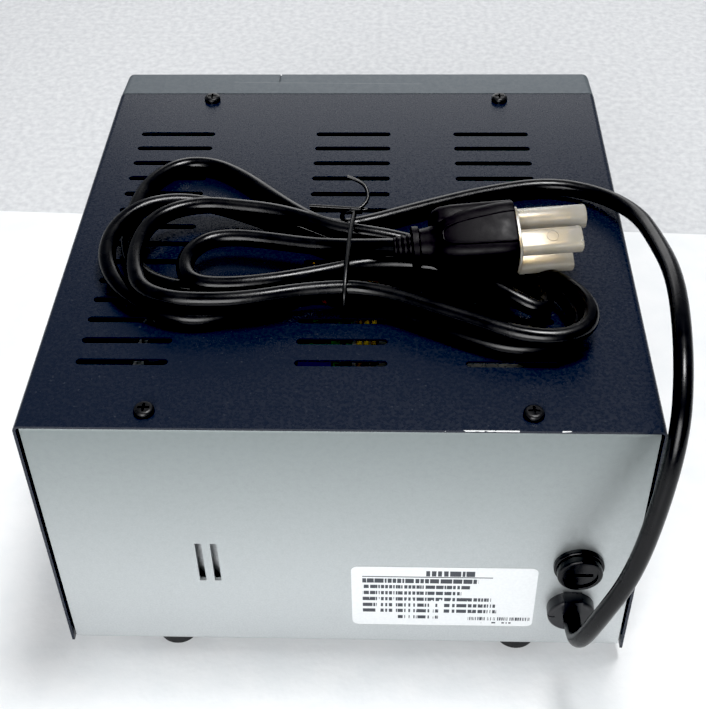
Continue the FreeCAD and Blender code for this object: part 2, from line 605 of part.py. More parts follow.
def make_knob(x):
    back = PANEL_FACE - 0.8
    skirt = Part.makeCone(KNOB_R, KNOB_R - 0.8, 4.0, V(x, back, KNOB_Z), -Y_AXIS)
    grip = Part.makeCone(KNOB_R - 1.9, KNOB_R - 2.7, 13.0, V(x, back, KNOB_Z), -Y_AXIS)
    grip = grip.makeFillet(0.9, [e for e in grip.Edges if e.BoundBox.YMax < back - 12.9])
    knob = skirt.fuse(grip)
    flutes = [rod(0.8, 10.0, V(x + 9.0 * math.cos(a), back - 4.6, KNOB_Z + 9.0 * math.sin(a)), -Y_AXIS)
              for a in [math.radians(18 * k) for k in range(20)]]
    pointer = block(x - 0.5, x + 0.5, back - 14, back - 12.6, KNOB_Z + 1.5, KNOB_Z + 9)
    bore = rod(3.0, 10.2, V(x, back + 0.01, KNOB_Z), -Y_AXIS)
    flat = block(x - 4, x + 4, back - 12, back - 0.7, KNOB_Z + 1.6, KNOB_Z + 4)
    return knob.cut(group(flutes)).cut(pointer).cut(bore.cut(flat)).removeSplitter()


ROCKER_PIVOT = V(ROCKER_X, PANEL_FACE + 1.6, POST_Z)
ROCKER_TILT = 10.0


def make_switch_housing():
    front = PANEL_FACE - 1.6
    flange = block(ROCKER_X - 7.6, ROCKER_X + 7.6, front, PANEL_FACE, POST_Z - 10.6, POST_Z + 10.6)
    body = block(ROCKER_X - 6.5, ROCKER_X + 6.5, PANEL_FACE, PANEL_FACE + 20, POST_Z - 9.6, POST_Z + 9.6)
    well = block(ROCKER_X - 4.6, ROCKER_X + 4.6, front - 1, PANEL_FACE + 9, POST_Z - 8.4, POST_Z + 8.4)
    tabs = [block(ROCKER_X - 2.4, ROCKER_X + 2.4, PANEL_FACE + 20, PANEL_FACE + 27, POST_Z + d - 0.4, POST_Z + d + 0.4)
            for d in (-5.0, 5.0)]
    pivots = rod(1.2, 14, V(ROCKER_X - 7, ROCKER_PIVOT.y, POST_Z), X_AXIS)
    body = fuse([flange, body.cut(well), ] + tabs).cut(well)
    return body.fuse(pivots.common(block(ROCKER_X - 6.5, ROCKER_X + 6.5, front, PANEL_FACE + 9, POST_Z - 9, POST_Z + 9))
                     ).removeSplitter()


def make_rocker():
    """The lever is a shallow V seen from the side; it rests with its lower half pressed in."""
    r = 9.0
    y = ROCKER_PIVOT.y
    side = [V(0, y + 2.6, POST_Z - 3.4), V(0, y + 2.6, POST_Z + 3.4), V(0, y - 1.0, POST_Z + 7.4), V(0, y - 5.4, POST_Z + 7.4),
            V(0, y - 3.6, POST_Z), V(0, y - 5.4, POST_Z - 7.4), V(0, y - 1.0, POST_Z - 7.4)]
    lever = Part.Face(Part.makePolygon(side + [side[0]])).extrude(V(2 * 4.2, 0, 0))
    lever.translate(V(ROCKER_X - 4.2, 0, 0))
    lever = lever.cut(rod(1.2 + RUN_GAP, r * 2, V(ROCKER_X - r, y, POST_Z), X_AXIS))
    lever.rotate(ROCKER_PIVOT, X_AXIS, ROCKER_TILT)
    return lever


# ---------------------------------------------------------------- output terminals
STUD_FRONT = PANEL_FACE - 22.5


def make_post_bases():
    bases = []
    for x in POST_X:
        collar = hexagon(14.0, 4.0, V(x, PANEL_FACE, POST_Z), -Y_AXIS)
        spigot = rod(4.1, PANEL_THICK, V(x, PANEL_FACE, POST_Z), Y_AXIS)
        bases.append(collar.fuse(spigot).cut(rod(THREAD_R, 20, V(x, PANEL_FACE + 5, POST_Z), -Y_AXIS)).removeSplitter())
    return group(bases)


def make_post_studs():
    studs = []
    for x in POST_X:
        length = SUBPANEL_BACK + 14 - STUD_FRONT
        stud = rod(THREAD_R, length, V(x, STUD_FRONT, POST_Z), Y_AXIS)
        hole = rod(BANANA_R, BANANA_DEPTH, V(x, STUD_FRONT, POST_Z), Y_AXIS)
        studs.append(stud.cut(hole))
    return group(studs)


def make_post_nuts():
    nuts = []
    for x in POST_X:
        bush = ring(5.0, THREAD_R, 3.0, V(x, SUBPANEL_FRONT - 1.5, POST_Z), Y_AXIS)
        washer = ring(6.5, THREAD_R, 1.0, V(x, SUBPANEL_BACK, POST_Z), Y_AXIS)
        nut = hexagon(10.0, 4.0, V(x, SUBPANEL_BACK + 1, POST_Z), Y_AXIS)
        nut = nut.cut(rod(THREAD_R, 8, V(x, SUBPANEL_BACK, POST_Z), Y_AXIS))
        nuts.append(fuse([bush, washer, nut]))
    return group(nuts)


def make_post_washer(x):
    return ring(5.6, THREAD_R + RUN_GAP, 0.8, V(x, PANEL_FACE - 4.1, POST_Z), -Y_AXIS)


def make_post_cap(x):
    back = PANEL_FACE - 4.95
    length = 18.0
    skirt = rod(6.6, 2.0, V(x, back, POST_Z), -Y_AXIS)
    barrel = Part.makeCone(6.1, 5.6, length, V(x, back, POST_Z), -Y_AXIS)
    cap = skirt.fuse(barrel)
    flutes = [rod(0.55, length, V(x + 6.15 * math.cos(a), back - 2.6, POST_Z + 6.15 * math.sin(a)), -Y_AXIS)
              for a in [math.radians(30 * k) for k in range(12)]]
    return cap.cut(rod(THREAD_R + RUN_GAP, length * 2, V(x, back + 1, POST_Z), -Y_AXIS)).cut(group(flutes)).removeSplitter()


# ---------------------------------------------------------------- wiring inside
def make_mains_wiring():
    relief_end = V(RELIEF_X, PANEL_OUT - 15.5, RELIEF_Z)
    live = wire_run([relief_end + V(0, 0, 2.2), V(RELIEF_X, PANEL_OUT - 44, RELIEF_Z + 2.2),
                     V(FUSE_X, PANEL_OUT - 44, FUSE_Z), V(FUSE_X, PANEL_OUT - 37.2, FUSE_Z)], 1.1)
    feed = wire_run([V(FUSE_X - 6, PANEL_OUT - 36, FUSE_Z), V(FUSE_X - 12, PANEL_OUT - 50, FUSE_Z),
                     V(-97, 0, 40), V(-97, -60, 40), V(ROCKER_X, PANEL_FACE + 32, POST_Z + 5.0),
                     V(ROCKER_X, PANEL_FACE + 27.2, POST_Z + 5.0)], 1.1)
    neutral = wire_run([relief_end - V(0, 0, 2.2), V(RELIEF_X, PANEL_OUT - 24, RELIEF_Z - 2.2),
                        V(-97, 70, 22), V(-97, -50, 22), V(ROCKER_X, PANEL_FACE + 34, POST_Z - 5.0),
                        V(ROCKER_X, PANEL_FACE + 27.2, POST_Z - 5.0)], 1.1)
    return group([live, feed, neutral])


def make_secondary_wiring():
    wires = []
    for k in range(3):
        z = TRAFO_Z + TRAFO_H + 6 + 3 * k
        y = TRAFO_Y + 30 - 3 * k
        wires.append(wire_run([V(TRAFO_X + 10, y, TRAFO_Z + TRAFO_H * 5 / 6 - 1.1), V(TRAFO_X + 10, y, z), V(-4 - 3 * k, y, z),
                               V(-4 - 3 * k, -20 - 6 * k, z), V(6, -20 - 6 * k, BOARD_Z + 12),
                               V(6, -20 - 6 * k, BOARD_Z + BOARD_THICK)], 1.1))
    return group(wires)


def make_output_wiring():
    back = SUBPANEL_BACK + 14.2
    return group([wire_run([V(x, back, POST_Z), V(x, back + 8, POST_Z), V(10 + 7 * k, back + 20, POST_Z - 6),
                            V(10 + 7 * k, back + 20, BOARD_Z + BOARD_THICK)], 1.0)
                  for k, x in enumerate(POST_X)])


# ---------------------------------------------------------------- mains lead
def lead_route():
    """The uncoiled stretch: out of the strain relief, up past the corner and down onto the cover."""
    from_rear_and_top = [(-83.1, -1.0, -92.5), (-83.1, -12.0, -92.5), (-84.0, -19.5, -84.5), (-88.0, -21.5, -70.5),
                         (-97.0, -20.0, -48.0), (-102.5, -15.0, -20.5), (-106.5, -6.5, 5.0),
                         (-108.5, 8.5, 16.0), (-111.0, 32.0, 20.0), (-113.0, 58.0, 18.0),
                         (-112.0, 85.0, 12.0), (-109.0, 108.5, 7.0), (-97.5, 125.0, 4.2),
                         (-78.0, 132.5, 3.4), (-52.5, 126.0, 3.4), (-27.5, 115.5, 3.4), (-5.0, 105.0, 3.4)]
    return [V(x, REAR - y, TOP + z) for x, y, z in from_rear_and_top]


def tangent_path(points):
    """Straight runs joined by tangent arcs, each as large as its two runs allow."""
    edges = []
    radii = []
    last = points[0]
    for k in range(1, len(points) - 1):
        back = points[k - 1] - points[k]
        ahead = points[k + 1] - points[k]
        shorter = min(back.Length, ahead.Length)
        back.normalize()
        ahead.normalize()
        half = (math.pi - back.getAngle(ahead)) / 2
        reach = 0.45 * shorter
        radius = reach / math.tan(half)
        radii.append(round(radius, 1))
        start = points[k] + back * reach
        end = points[k] + ahead * reach
        inward = (back + ahead).normalize()
        middle = points[k] + inward * (radius / math.cos(half) - radius)
        edges.append(Part.LineSegment(last, start).toShape())
        edges.append(Part.Arc(start, middle, end).toShape())
        last = end
    edges.append(Part.LineSegment(last, points[-1]).toShape())
    print("cord radii", radii)
    return Part.Wire(edges)


def make_power_cord():
    route = lead_route()
    path = tangent_path(route)
    circle = Part.Wire(Part.makeCircle(CORD_R, route[0], route[1] - route[0]))
    tube = path.makePipeShell([circle], True, True)
    print("cord volume", round(tube.Volume), "section times length", round(math.pi * CORD_R ** 2 * path.Length),
          "length", round(path.Length, 1))
    return tube


def make_cord_hank():
    """The tied turns lying on the cover: a broad left lobe and a flatter right one."""
    left = Part.Face(Part.Wire(Part.Ellipse(V(42.0, REAR - 90.0, TOP), 50.0, 49.0).toShape())).extrude(V(0, 0, 13.0))
    right = slab(104.0, 60.0, 26.0, 6.6, V(-38.0, REAR - 67.0, TOP), Z_AXIS)
    return left.fuse(right).removeSplitter()


def make_cord_tie():
    wrap = slab(3.0, 62.0, 1.0, 16.0, V(2.0, REAR - 80.0, TOP), Z_AXIS)
    inside = block(-2.0, 6.0, REAR - 80.0 - 28.0, REAR - 80.0 + 28.0, TOP + 0.01, TOP + 14.5)
    wrap = wrap.cut(inside)
    return wrap


# ---------------------------------------------------------------- mains plug
PLUG_FACE = 36.0            # from the collar's start to the face the blades come out of
BLADE_GAP = 12.7
BLADE_LINE = 4.5            # the blades' line, off the plug's axis
PIN_TO_BLADES = 11.9
BLADE_ROOT = 12.0           # how far the blades run inside the body
BODY_ACROSS = 25.2
CAP_GAP = 0.3


def in_plug_frame(shape):
    """The plug is drawn along its own +Z with the earth pin toward -X, then laid along PLUG_AXIS."""
    roll = math.radians(PLUG_ROLL)
    away_from_pin = V(0, math.cos(roll), -math.sin(roll))
    shape.Placement = FreeCAD.Placement(PLUG_START, FreeCAD.Rotation(away_from_pin, V(0, 0, 0), PLUG_AXIS, "ZXY"))
    return shape


def make_plug_body():
    tail = Part.makeCone(CORD_R + 0.6, 4.7, 6.5, V(0, 0, -6.5), Z_AXIS)
    collar = rod(6.1, 2.6, V(0, 0, 0), Z_AXIS)
    neck = Part.makeCone(5.6, 6.2, 9.0, V(0, 0, 2.6), Z_AXIS)
    wires = []
    for across, radius, z in ((12.0, 5.8, 9.5), (19.0, 7.5, 12.5), (BODY_ACROSS, 9.0, 20.0), (BODY_ACROSS, 9.0, PLUG_FACE)):
        wire = rounded_rectangle(across, across, radius)
        wire.translate(V(0, 0, z))
        wires.append(wire)
    lofts = [Part.makeLoft([lower, upper], True, True) for lower, upper in zip(wires, wires[1:])]
    whole = fuse([tail, collar, neck] + lofts)
    cord_end = rod(CORD_R, 4.0, V(0, 0, -6.51), Z_AXIS)
    return in_plug_frame(whole.cut(cord_end).cut(blade_shapes(0.0, BLADE_ROOT)))


def blade_shapes(grow, root):
    """Two flat blades and a round earth pin; grow widens them and root is how far they run inside."""
    shapes = [block(BLADE_LINE - 3.18 - grow, BLADE_LINE + 3.18 + grow,
                    side * BLADE_GAP / 2 - 0.75 - grow, side * BLADE_GAP / 2 + 0.75 + grow,
                    PLUG_FACE - root, PLUG_FACE + 17.5 + grow) for side in (-1, 1)]
    shapes.append(rod(2.4 + grow, root + 20.6 + grow, V(BLADE_LINE - PIN_TO_BLADES, 0, PLUG_FACE - root), Z_AXIS))
    return group(shapes)


def make_plug_blades():
    return in_plug_frame(blade_shapes(0.0, BLADE_ROOT))


def make_plug_cap():
    start = PLUG_FACE + CAP_GAP
    base = slab(22.0, 20.0, 8.0, 1.6, V(-1.0, 0, start), Z_AXIS)
    sleeves = [block(BLADE_LINE - 3.7, BLADE_LINE + 5.0, side * BLADE_GAP / 2 - 2.5, side * BLADE_GAP / 2 + 2.5,
                     start, start + length) for side, length in ((-1, 22.2), (1, 20.5))]
    sleeves.append(rod(3.9, 26.0, V(BLADE_LINE - PIN_TO_BLADES - 0.5, 0, start), Z_AXIS))
    return in_plug_frame(fuse([base] + sleeves).cut(blade_shapes(0.35, 6.0)))


# ---------------------------------------------------------------- write the pieces
def all_parts():
    parts = {
        "chassis": make_chassis(),
        "front_subpanel": make_front_subpanel(),
        "top_cover": make_top_cover(),
        "front_bezel": make_front_bezel(),
        "front_panel": make_front_panel(),
        "display_window": make_display_window(),
        "feet": make_feet(),
        "feet_screws": make_feet_screws(),
        "cover_screws": make_cover_screws(),
        "machine_screws": make_machine_screws(),
        "rating_label": make_rating_label(),
        "fuse_holder": make_fuse_holder(),
        "fuse_nut": make_fuse_nut(),
        "fuse_cap": make_fuse_cap(),
        "fuse": make_fuse(),
        "strain_relief": make_strain_relief(),
        "heatsink": make_heatsink(),
        "power_transistors": make_power_transistors(),
        "transformer_core": make_transformer_core(),
        "transformer_coil": make_transformer_coil(),
        "transformer_frame": make_transformer_frame(),
        "transformer_bolts": make_transformer_bolts(),
        "main_board": make_main_board(),
        "standoffs": make_standoffs(),
        "filter_capacitors": make_filter_capacitors(),
        "bridge_rectifier": make_bridge_rectifier(),
        "relays": make_relays(),
        "regulator_heatsinks": make_regulator_heatsinks(),
        "control_chips": make_control_chips(),
        "display_board": make_display_board(),
        "volt_display": make_digit_block(-36.0),
        "amp_display": make_digit_block(36.0),
        "indicator_leds": make_indicator_leds(),
        "potentiometers": make_potentiometers(),
        "potentiometer_nuts": make_potentiometer_nuts(),
        "switch_housing": make_switch_housing(),
        "power_rocker": make_rocker(),
        "post_bases": make_post_bases(),
        "post_studs": make_post_studs(),
        "post_nuts": make_post_nuts(),
        "mains_wiring": make_mains_wiring(),
        "secondary_wiring": make_secondary_wiring(),
        "output_wiring": make_output_wiring(),
        "power_cord": make_power_cord(),
        "cord_hank": make_cord_hank(),
        "cord_tie": make_cord_tie(),
        "plug_body": make_plug_body(),
        "plug_blades": make_plug_blades(),
        "plug_cap": make_plug_cap(),
    }
    for number, x in enumerate(KNOB_X, 1):
        parts[f"knob_{number}"] = group([make_knob(x), make_pot_shaft(x)])
    for number, x in enumerate(POST_X, 1):
        parts[f"post_cap_{number}"] = make_post_cap(x)
        parts[f"post_washer_{number}"] = make_post_washer(x)
    return parts


os.makedirs("parts", exist_ok=True)
for name, shape in all_parts().items():
    print(name, shape.isValid(), len(shape.Solids), round(shape.Volume))
    shape.exportStep(f"parts/{name}.step")
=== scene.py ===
import bpy
import bmesh
import math
from mathutils import Matrix, Vector


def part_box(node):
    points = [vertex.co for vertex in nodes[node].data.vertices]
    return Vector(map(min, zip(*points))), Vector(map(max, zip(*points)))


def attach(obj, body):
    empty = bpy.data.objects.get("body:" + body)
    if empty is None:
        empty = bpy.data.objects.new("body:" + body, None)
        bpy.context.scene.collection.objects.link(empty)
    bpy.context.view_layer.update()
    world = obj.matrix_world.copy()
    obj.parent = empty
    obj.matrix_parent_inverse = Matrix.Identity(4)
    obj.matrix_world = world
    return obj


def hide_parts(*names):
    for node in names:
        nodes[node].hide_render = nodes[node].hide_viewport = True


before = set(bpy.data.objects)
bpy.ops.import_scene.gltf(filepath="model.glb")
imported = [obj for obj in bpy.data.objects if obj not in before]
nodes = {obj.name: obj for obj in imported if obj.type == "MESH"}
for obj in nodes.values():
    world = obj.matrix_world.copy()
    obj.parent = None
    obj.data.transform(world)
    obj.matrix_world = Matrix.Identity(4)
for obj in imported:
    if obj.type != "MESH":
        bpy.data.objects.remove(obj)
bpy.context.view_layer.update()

cover_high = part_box("top_cover")[1]
rear = cover_high.y
top = cover_high.z
MM = 0.001

# ---------------------------------------------------------------- Camera
# It looks down on the rear panel from behind, a touch to the left of square on.
distance_behind = 0.2759
height_over_cover = 0.2821
camera_data = bpy.data.cameras.new("camera")
camera_data.lens = 62.84
camera_data.sensor_width = 36.0
camera = bpy.data.objects.new("camera", camera_data)
bpy.context.scene.collection.objects.link(camera)
turn = Matrix.Rotation(math.radians(182.665), 4, "Z")
nod = Matrix.Rotation(math.radians(90.0 - 42.13), 4, "X")
roll = Matrix.Rotation(math.radians(-1.381), 4, "Z")
place = Matrix.Translation((-0.0185, rear + distance_behind, top + height_over_cover))
camera.matrix_world = place @ turn @ nod @ roll
bpy.context.scene.camera = camera

# ---------------------------------------------------------------- Floor and light
# A white bench top with a greyer sheet beyond the object, a key lamp almost overhead, a broad
# fill from behind and a low wide panel past the front.  A raised black point deepens the darks.
view = bpy.context.scene.view_settings
view.view_transform = "Standard"
view.use_curve_mapping = True
darkest = 0.014
view.curve_mapping.black_level = (darkest, darkest, darkest)


def finish(name, colour, shade, grain, roughness, relief, metallic=0.0, stretch=(1.0, 1.0, 1.0)):
    """Two tones, an uneven gloss and a fine surface, laid out on the piece's own coordinates."""
    material = bpy.data.materials.new(name)
    material.use_nodes = True
    tree = material.node_tree
    shader = tree.nodes["Principled BSDF"]
    shader.inputs["Base Color"].default_value = (*colour, 1.0)
    shader.inputs["Roughness"].default_value = roughness
    shader.inputs["Metallic"].default_value = metallic
    where = tree.nodes.new("ShaderNodeTexCoord")
    laid = tree.nodes.new("ShaderNodeMapping")
    laid.inputs["Scale"].default_value = stretch
    tree.links.new(where.outputs["Object"], laid.inputs["Vector"])
    clouds = tree.nodes.new("ShaderNodeTexNoise")
    clouds.inputs["Scale"].default_value = grain
    clouds.inputs["Detail"].default_value = 5.0
    tree.links.new(laid.outputs["Vector"], clouds.inputs["Vector"])
    tones = tree.nodes.new("ShaderNodeValToRGB")
    tones.color_ramp.elements[0].position = 0.34
    tones.color_ramp.elements[0].color = (*shade, 1.0)
    tones.color_ramp.elements[1].position = 0.66
    tones.color_ramp.elements[1].color = (*colour, 1.0)
    tree.links.new(clouds.outputs["Fac"], tones.inputs["Fac"])
    tree.links.new(tones.outputs["Color"], shader.inputs["Base Color"])
    wear = tree.nodes.new("ShaderNodeTexNoise")
    wear.inputs["Scale"].default_value = grain * 0.31
    wear.inputs["Detail"].default_value = 3.0
    tree.links.new(laid.outputs["Vector"], wear.inputs["Vector"])
    gloss = tree.nodes.new("ShaderNodeMapRange")
    gloss.inputs["From Min"].default_value = 0.3
    gloss.inputs["From Max"].default_value = 0.7
    gloss.inputs["To Min"].default_value = max(0.03, roughness - 0.07)
    gloss.inputs["To Max"].default_value = min(1.0, roughness + 0.09)
    tree.links.new(wear.outputs["Fac"], gloss.inputs["Value"])
    tree.links.new(gloss.outputs["Result"], shader.inputs["Roughness"])
    skin = tree.nodes.new("ShaderNodeTexNoise")
    skin.inputs["Scale"].default_value = grain * 3.0
    skin.inputs["Detail"].default_value = 3.0
    tree.links.new(laid.outputs["Vector"], skin.inputs["Vector"])
    bump = tree.nodes.new("ShaderNodeBump")
    bump.inputs["Strength"].default_value = 0.4
    bump.inputs["Distance"].default_value = relief
    tree.links.new(skin.outputs["Fac"], bump.inputs["Height"])
    tree.links.new(bump.outputs["Normal"], shader.inputs["Normal"])
    return material


def flat_board(name, size, place, material):
    """One large square of the bench."""
    mesh = bmesh.new()
    bmesh.ops.create_grid(mesh, x_segments=1, y_segments=1, size=size)
    bmesh.ops.transform(mesh, matrix=place, verts=mesh.verts)
    data = bpy.data.meshes.new(name)
    mesh.to_mesh(data)
    mesh.free()
    board = bpy.data.objects.new(name, data)
    bpy.context.scene.collection.objects.link(board)
    data.materials.append(material)


def soft_light(name, place, target, size, power):
    """A square lamp aimed at a point."""
    data = bpy.data.lights.new(name, "AREA")
    data.size = size
    data.energy = power
    light = bpy.data.objects.new(name, data)
    light.location = place
    light.rotation_euler = (Vector(target) - Vector(place)).to_track_quat("-Z", "Y").to_euler()
    bpy.context.scene.collection.objects.link(light)


bench_white = finish("bench_white", (0.90, 0.91, 0.92), (0.85, 0.87, 0.885), 60.0, 0.6, 0.0004)
backing_grey = finish("backing_grey", (0.72, 0.73, 0.745), (0.60, 0.61, 0.63), 260.0, 0.8, 0.0008)
half_bench = 3.0
crease_at = -0.158
crease = Matrix.Rotation(math.radians(-2.9), 4, "Z")
beyond = crease @ Matrix.Translation((0.0, crease_at - half_bench, 0.0))
before = crease @ Matrix.Translation((0.0, crease_at + half_bench, 0.0))
flat_board("floor", half_bench, before, bench_white)
flat_board("floor_backing", half_bench, beyond, backing_grey)
world = bpy.data.worlds.new("studio")
world.use_nodes = True
sky = world.node_tree.nodes["Background"]
sky.inputs["Color"].default_value = (0.94, 0.97, 1.0, 1.0)
sky.inputs["Strength"].default_value = 0.26
bpy.context.scene.world = world
soft_light("key", (-0.20, -0.10, 1.35), (0, 0, 0.1), 0.35, 13.0)
soft_light("fill", (0.25, 1.35, 0.75), (0, 0.30, 0.0), 0.8, 17.0)
soft_light("far_wall", (0.0, -1.25, 0.36), (0, -0.05, 0.1), 0.85, 3.9)

# ---------------------------------------------------------------- Chassis and subpanel
# Zinc-plated sheet steel, folded, the subpanel screwed across its front.  The rear wall is the
# bare satin panel between the cover's sides; its colour carries painted shade and reflection:
# darker towards the top, lighter low down where the bright bench would be reflected.


def dress(material, *names):
    """Gives CAD nodes their finish."""
    for name in names:
        node = nodes[name]
        if not node.material_slots:
            node.data.materials.append(material)
        for held in node.material_slots:
            held.link = "OBJECT"
            held.material = material


def place_of(material):
    """The piece's own X, Y and Z in metres, as three sockets."""
    tree = material.node_tree
    where = tree.nodes.new("ShaderNodeTexCoord")
    split = tree.nodes.new("ShaderNodeSeparateXYZ")
    tree.links.new(where.outputs["Object"], split.inputs["Vector"])
    return split.outputs["X"], split.outputs["Y"], split.outputs["Z"]


def lay_over(material, mask, colour):
    """Paints a colour over what the material already shows, where the mask is 1."""
    tree = material.node_tree
    base = tree.nodes["Principled BSDF"].inputs["Base Color"]
    under = base.links[0].from_socket
    mix = tree.nodes.new("ShaderNodeMixRGB")
    mix.inputs["Color2"].default_value = (*colour, 1.0)
    tree.links.new(mask, mix.inputs["Fac"])
    tree.links.new(under, mix.inputs["Color1"])
    tree.links.new(mix.outputs["Color"], base)


plated_steel = finish("plated_steel", (0.66, 0.685, 0.69), (0.60, 0.625, 0.635), 1500.0, 0.40, 0.00002, 0.85)
# Painted shade and reflection: the steel's colour is darkened towards the top, leaving the lower part light
# as if it reflected the bench.
painted_shade_by_height = plated_steel.node_tree.nodes.new("ShaderNodeMapRange")
painted_shade_by_height.inputs["From Min"].default_value = 0.01
painted_shade_by_height.inputs["From Max"].default_value = top
painted_shade_by_height.inputs["To Min"].default_value = 0.0
painted_shade_by_height.inputs["To Max"].default_value = 0.95
plated_steel.node_tree.links.new(place_of(plated_steel)[2], painted_shade_by_height.inputs["Value"])
lay_over(plated_steel, painted_shade_by_height.outputs["Result"], (0.22, 0.25, 0.25))
dress(plated_steel, "chassis", "front_subpanel")

# ---------------------------------------------------------------- Inside
# What shows through the vents and slots: an aluminium heatsink, the transformer with its taped
# coil, a green board on brass standoffs with its parts, and the wiring between them.


def reckon(material, operation, *values):
    """One Math node on sockets or numbers."""
    tree = material.node_tree
    node = tree.nodes.new("ShaderNodeMath")
    node.operation = operation
    for socket, value in zip(node.inputs, values):
        if isinstance(value, (int, float)):
            socket.default_value = value
        else:
            tree.links.new(value, socket)
    return node.outputs["Value"]


def speckle(material, scale, threshold, detail=2.0, stretch=(1.0, 1.0, 1.0)):
    """Scattered patches of 1 in a field of 0."""
    tree = material.node_tree
    where = tree.nodes.new("ShaderNodeTexCoord")
    laid = tree.nodes.new("ShaderNodeMapping")
    laid.inputs["Scale"].default_value = stretch
    tree.links.new(where.outputs["Object"], laid.inputs["Vector"])
    noise = tree.nodes.new("ShaderNodeTexNoise")
    noise.inputs["Scale"].default_value = scale
    noise.inputs["Detail"].default_value = detail
    tree.links.new(laid.outputs["Vector"], noise.inputs["Vector"])
    return reckon(material, "GREATER_THAN", noise.outputs["Fac"], threshold)


sink_aluminium = finish("sink_aluminium", (0.55, 0.56, 0.57), (0.45, 0.46, 0.47), 400.0, 0.4, 0.00004, 1.0,
                        (1.0, 1.0, 8.0))
chip_black = finish("chip_black", (0.014, 0.014, 0.015), (0.009, 0.009, 0.010), 1500.0, 0.55, 0.00003)
core_steel = finish("core_steel", (0.16, 0.16, 0.165), (0.09, 0.09, 0.095), 900.0, 0.5, 0.0001, 0.8,
                    (0.2, 12.0, 0.2))
coil_tape = finish("coil_tape", (0.62, 0.46, 0.08), (0.50, 0.36, 0.05), 200.0, 0.32, 0.0001, 0.0,
                   (1.0, 1.0, 4.0))
board_green = finish("board_green", (0.015, 0.12, 0.045), (0.010, 0.085, 0.03), 500.0, 0.4, 0.00004)
board_prints = reckon(board_green, "MULTIPLY", speckle(board_green, 260.0, 0.58, 0.0), 0.6)
lay_over(board_green, board_prints, (0.03, 0.2, 0.07))
sleeve_blue = finish("sleeve_blue", (0.015, 0.018, 0.07), (0.010, 0.012, 0.05), 300.0, 0.25, 0.00002)
relay_blue = finish("relay_blue", (0.02, 0.05, 0.22), (0.015, 0.04, 0.17), 700.0, 0.3, 0.00002)
pot_metal = finish("pot_metal", (0.55, 0.55, 0.52), (0.45, 0.45, 0.42), 600.0, 0.35, 0.00003, 1.0)
screw_zinc = finish("screw_zinc", (0.70, 0.70, 0.66), (0.58, 0.58, 0.54), 900.0, 0.3, 0.00002, 1.0)
brass = finish("brass", (0.80, 0.62, 0.32), (0.68, 0.50, 0.24), 500.0, 0.25, 0.00002, 1.0)
wire_red = finish("wire_red", (0.35, 0.02, 0.02), (0.28, 0.015, 0.015), 500.0, 0.35, 0.00003)
wire_brown = finish("wire_brown", (0.10, 0.04, 0.02), (0.07, 0.028, 0.014), 500.0, 0.35, 0.00003)
wire_yellow = finish("wire_yellow", (0.60, 0.45, 0.03), (0.48, 0.35, 0.02), 500.0, 0.35, 0.00003)
dress(sink_aluminium, "heatsink", "regulator_heatsinks")
dress(chip_black, "power_transistors", "bridge_rectifier", "control_chips")
dress(core_steel, "transformer_core")
dress(coil_tape, "transformer_coil")
dress(screw_zinc, "transformer_bolts", "transformer_frame", "machine_screws")
dress(board_green, "main_board", "display_board")
dress(brass, "standoffs")
dress(sleeve_blue, "filter_capacitors")
dress(relay_blue, "relays")
dress(pot_metal, "potentiometers", "potentiometer_nuts")
dress(wire_red, "output_wiring")
dress(wire_brown, "mains_wiring")
dress(wire_yellow, "secondary_wiring")

# ---------------------------------------------------------------- Control panel
# A painted aluminium plate behind the bezel, light grey, with a dark surround for the two
# readouts, a printed rule under the knobs and dial marks round each knob.


def within(material, value, low, high):
    """1 between two limits and 0 outside."""
    above = reckon(material, "GREATER_THAN", value, low)
    below = reckon(material, "LESS_THAN", value, high)
    return reckon(material, "MULTIPLY", above, below)


def bar(mesh, size, place):
    """A small bar with softened edges."""
    verts = bmesh.ops.create_cube(mesh, size=1.0)["verts"]
    bmesh.ops.scale(mesh, verts=verts, vec=size)
    edges = list({edge for vert in verts for edge in vert.link_edges})
    made = bmesh.ops.bevel(mesh, geom=edges, offset=min(size) * 0.22, affect="EDGES", segments=2,
                           profile=0.5, material=-1)
    rounded = {vert for face in made["faces"] for vert in face.verts}
    rounded |= {vert for vert in verts if vert.is_valid}
    bmesh.ops.transform(mesh, matrix=place, verts=list(rounded))


def finished_piece(name, mesh, material, body, place=None, smooth=35.0):
    """Merges, faces outward, places and shades a mesh, and lets it ride on its body."""
    bmesh.ops.remove_doubles(mesh, verts=mesh.verts, dist=1e-6)
    bmesh.ops.recalc_face_normals(mesh, faces=mesh.faces)
    if place is not None:
        bmesh.ops.transform(mesh, matrix=place, verts=mesh.verts)
    for face in mesh.faces:
        face.smooth = True
    for edge in mesh.edges:
        if len(edge.link_faces) == 2 and edge.calc_face_angle(0.0) > math.radians(smooth):
            edge.smooth = False
    data = bpy.data.meshes.new(name)
    mesh.to_mesh(data)
    mesh.free()
    piece = bpy.data.objects.new(name, data)
    bpy.context.scene.collection.objects.link(piece)
    data.materials.append(material)
    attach(piece, body)
    return piece


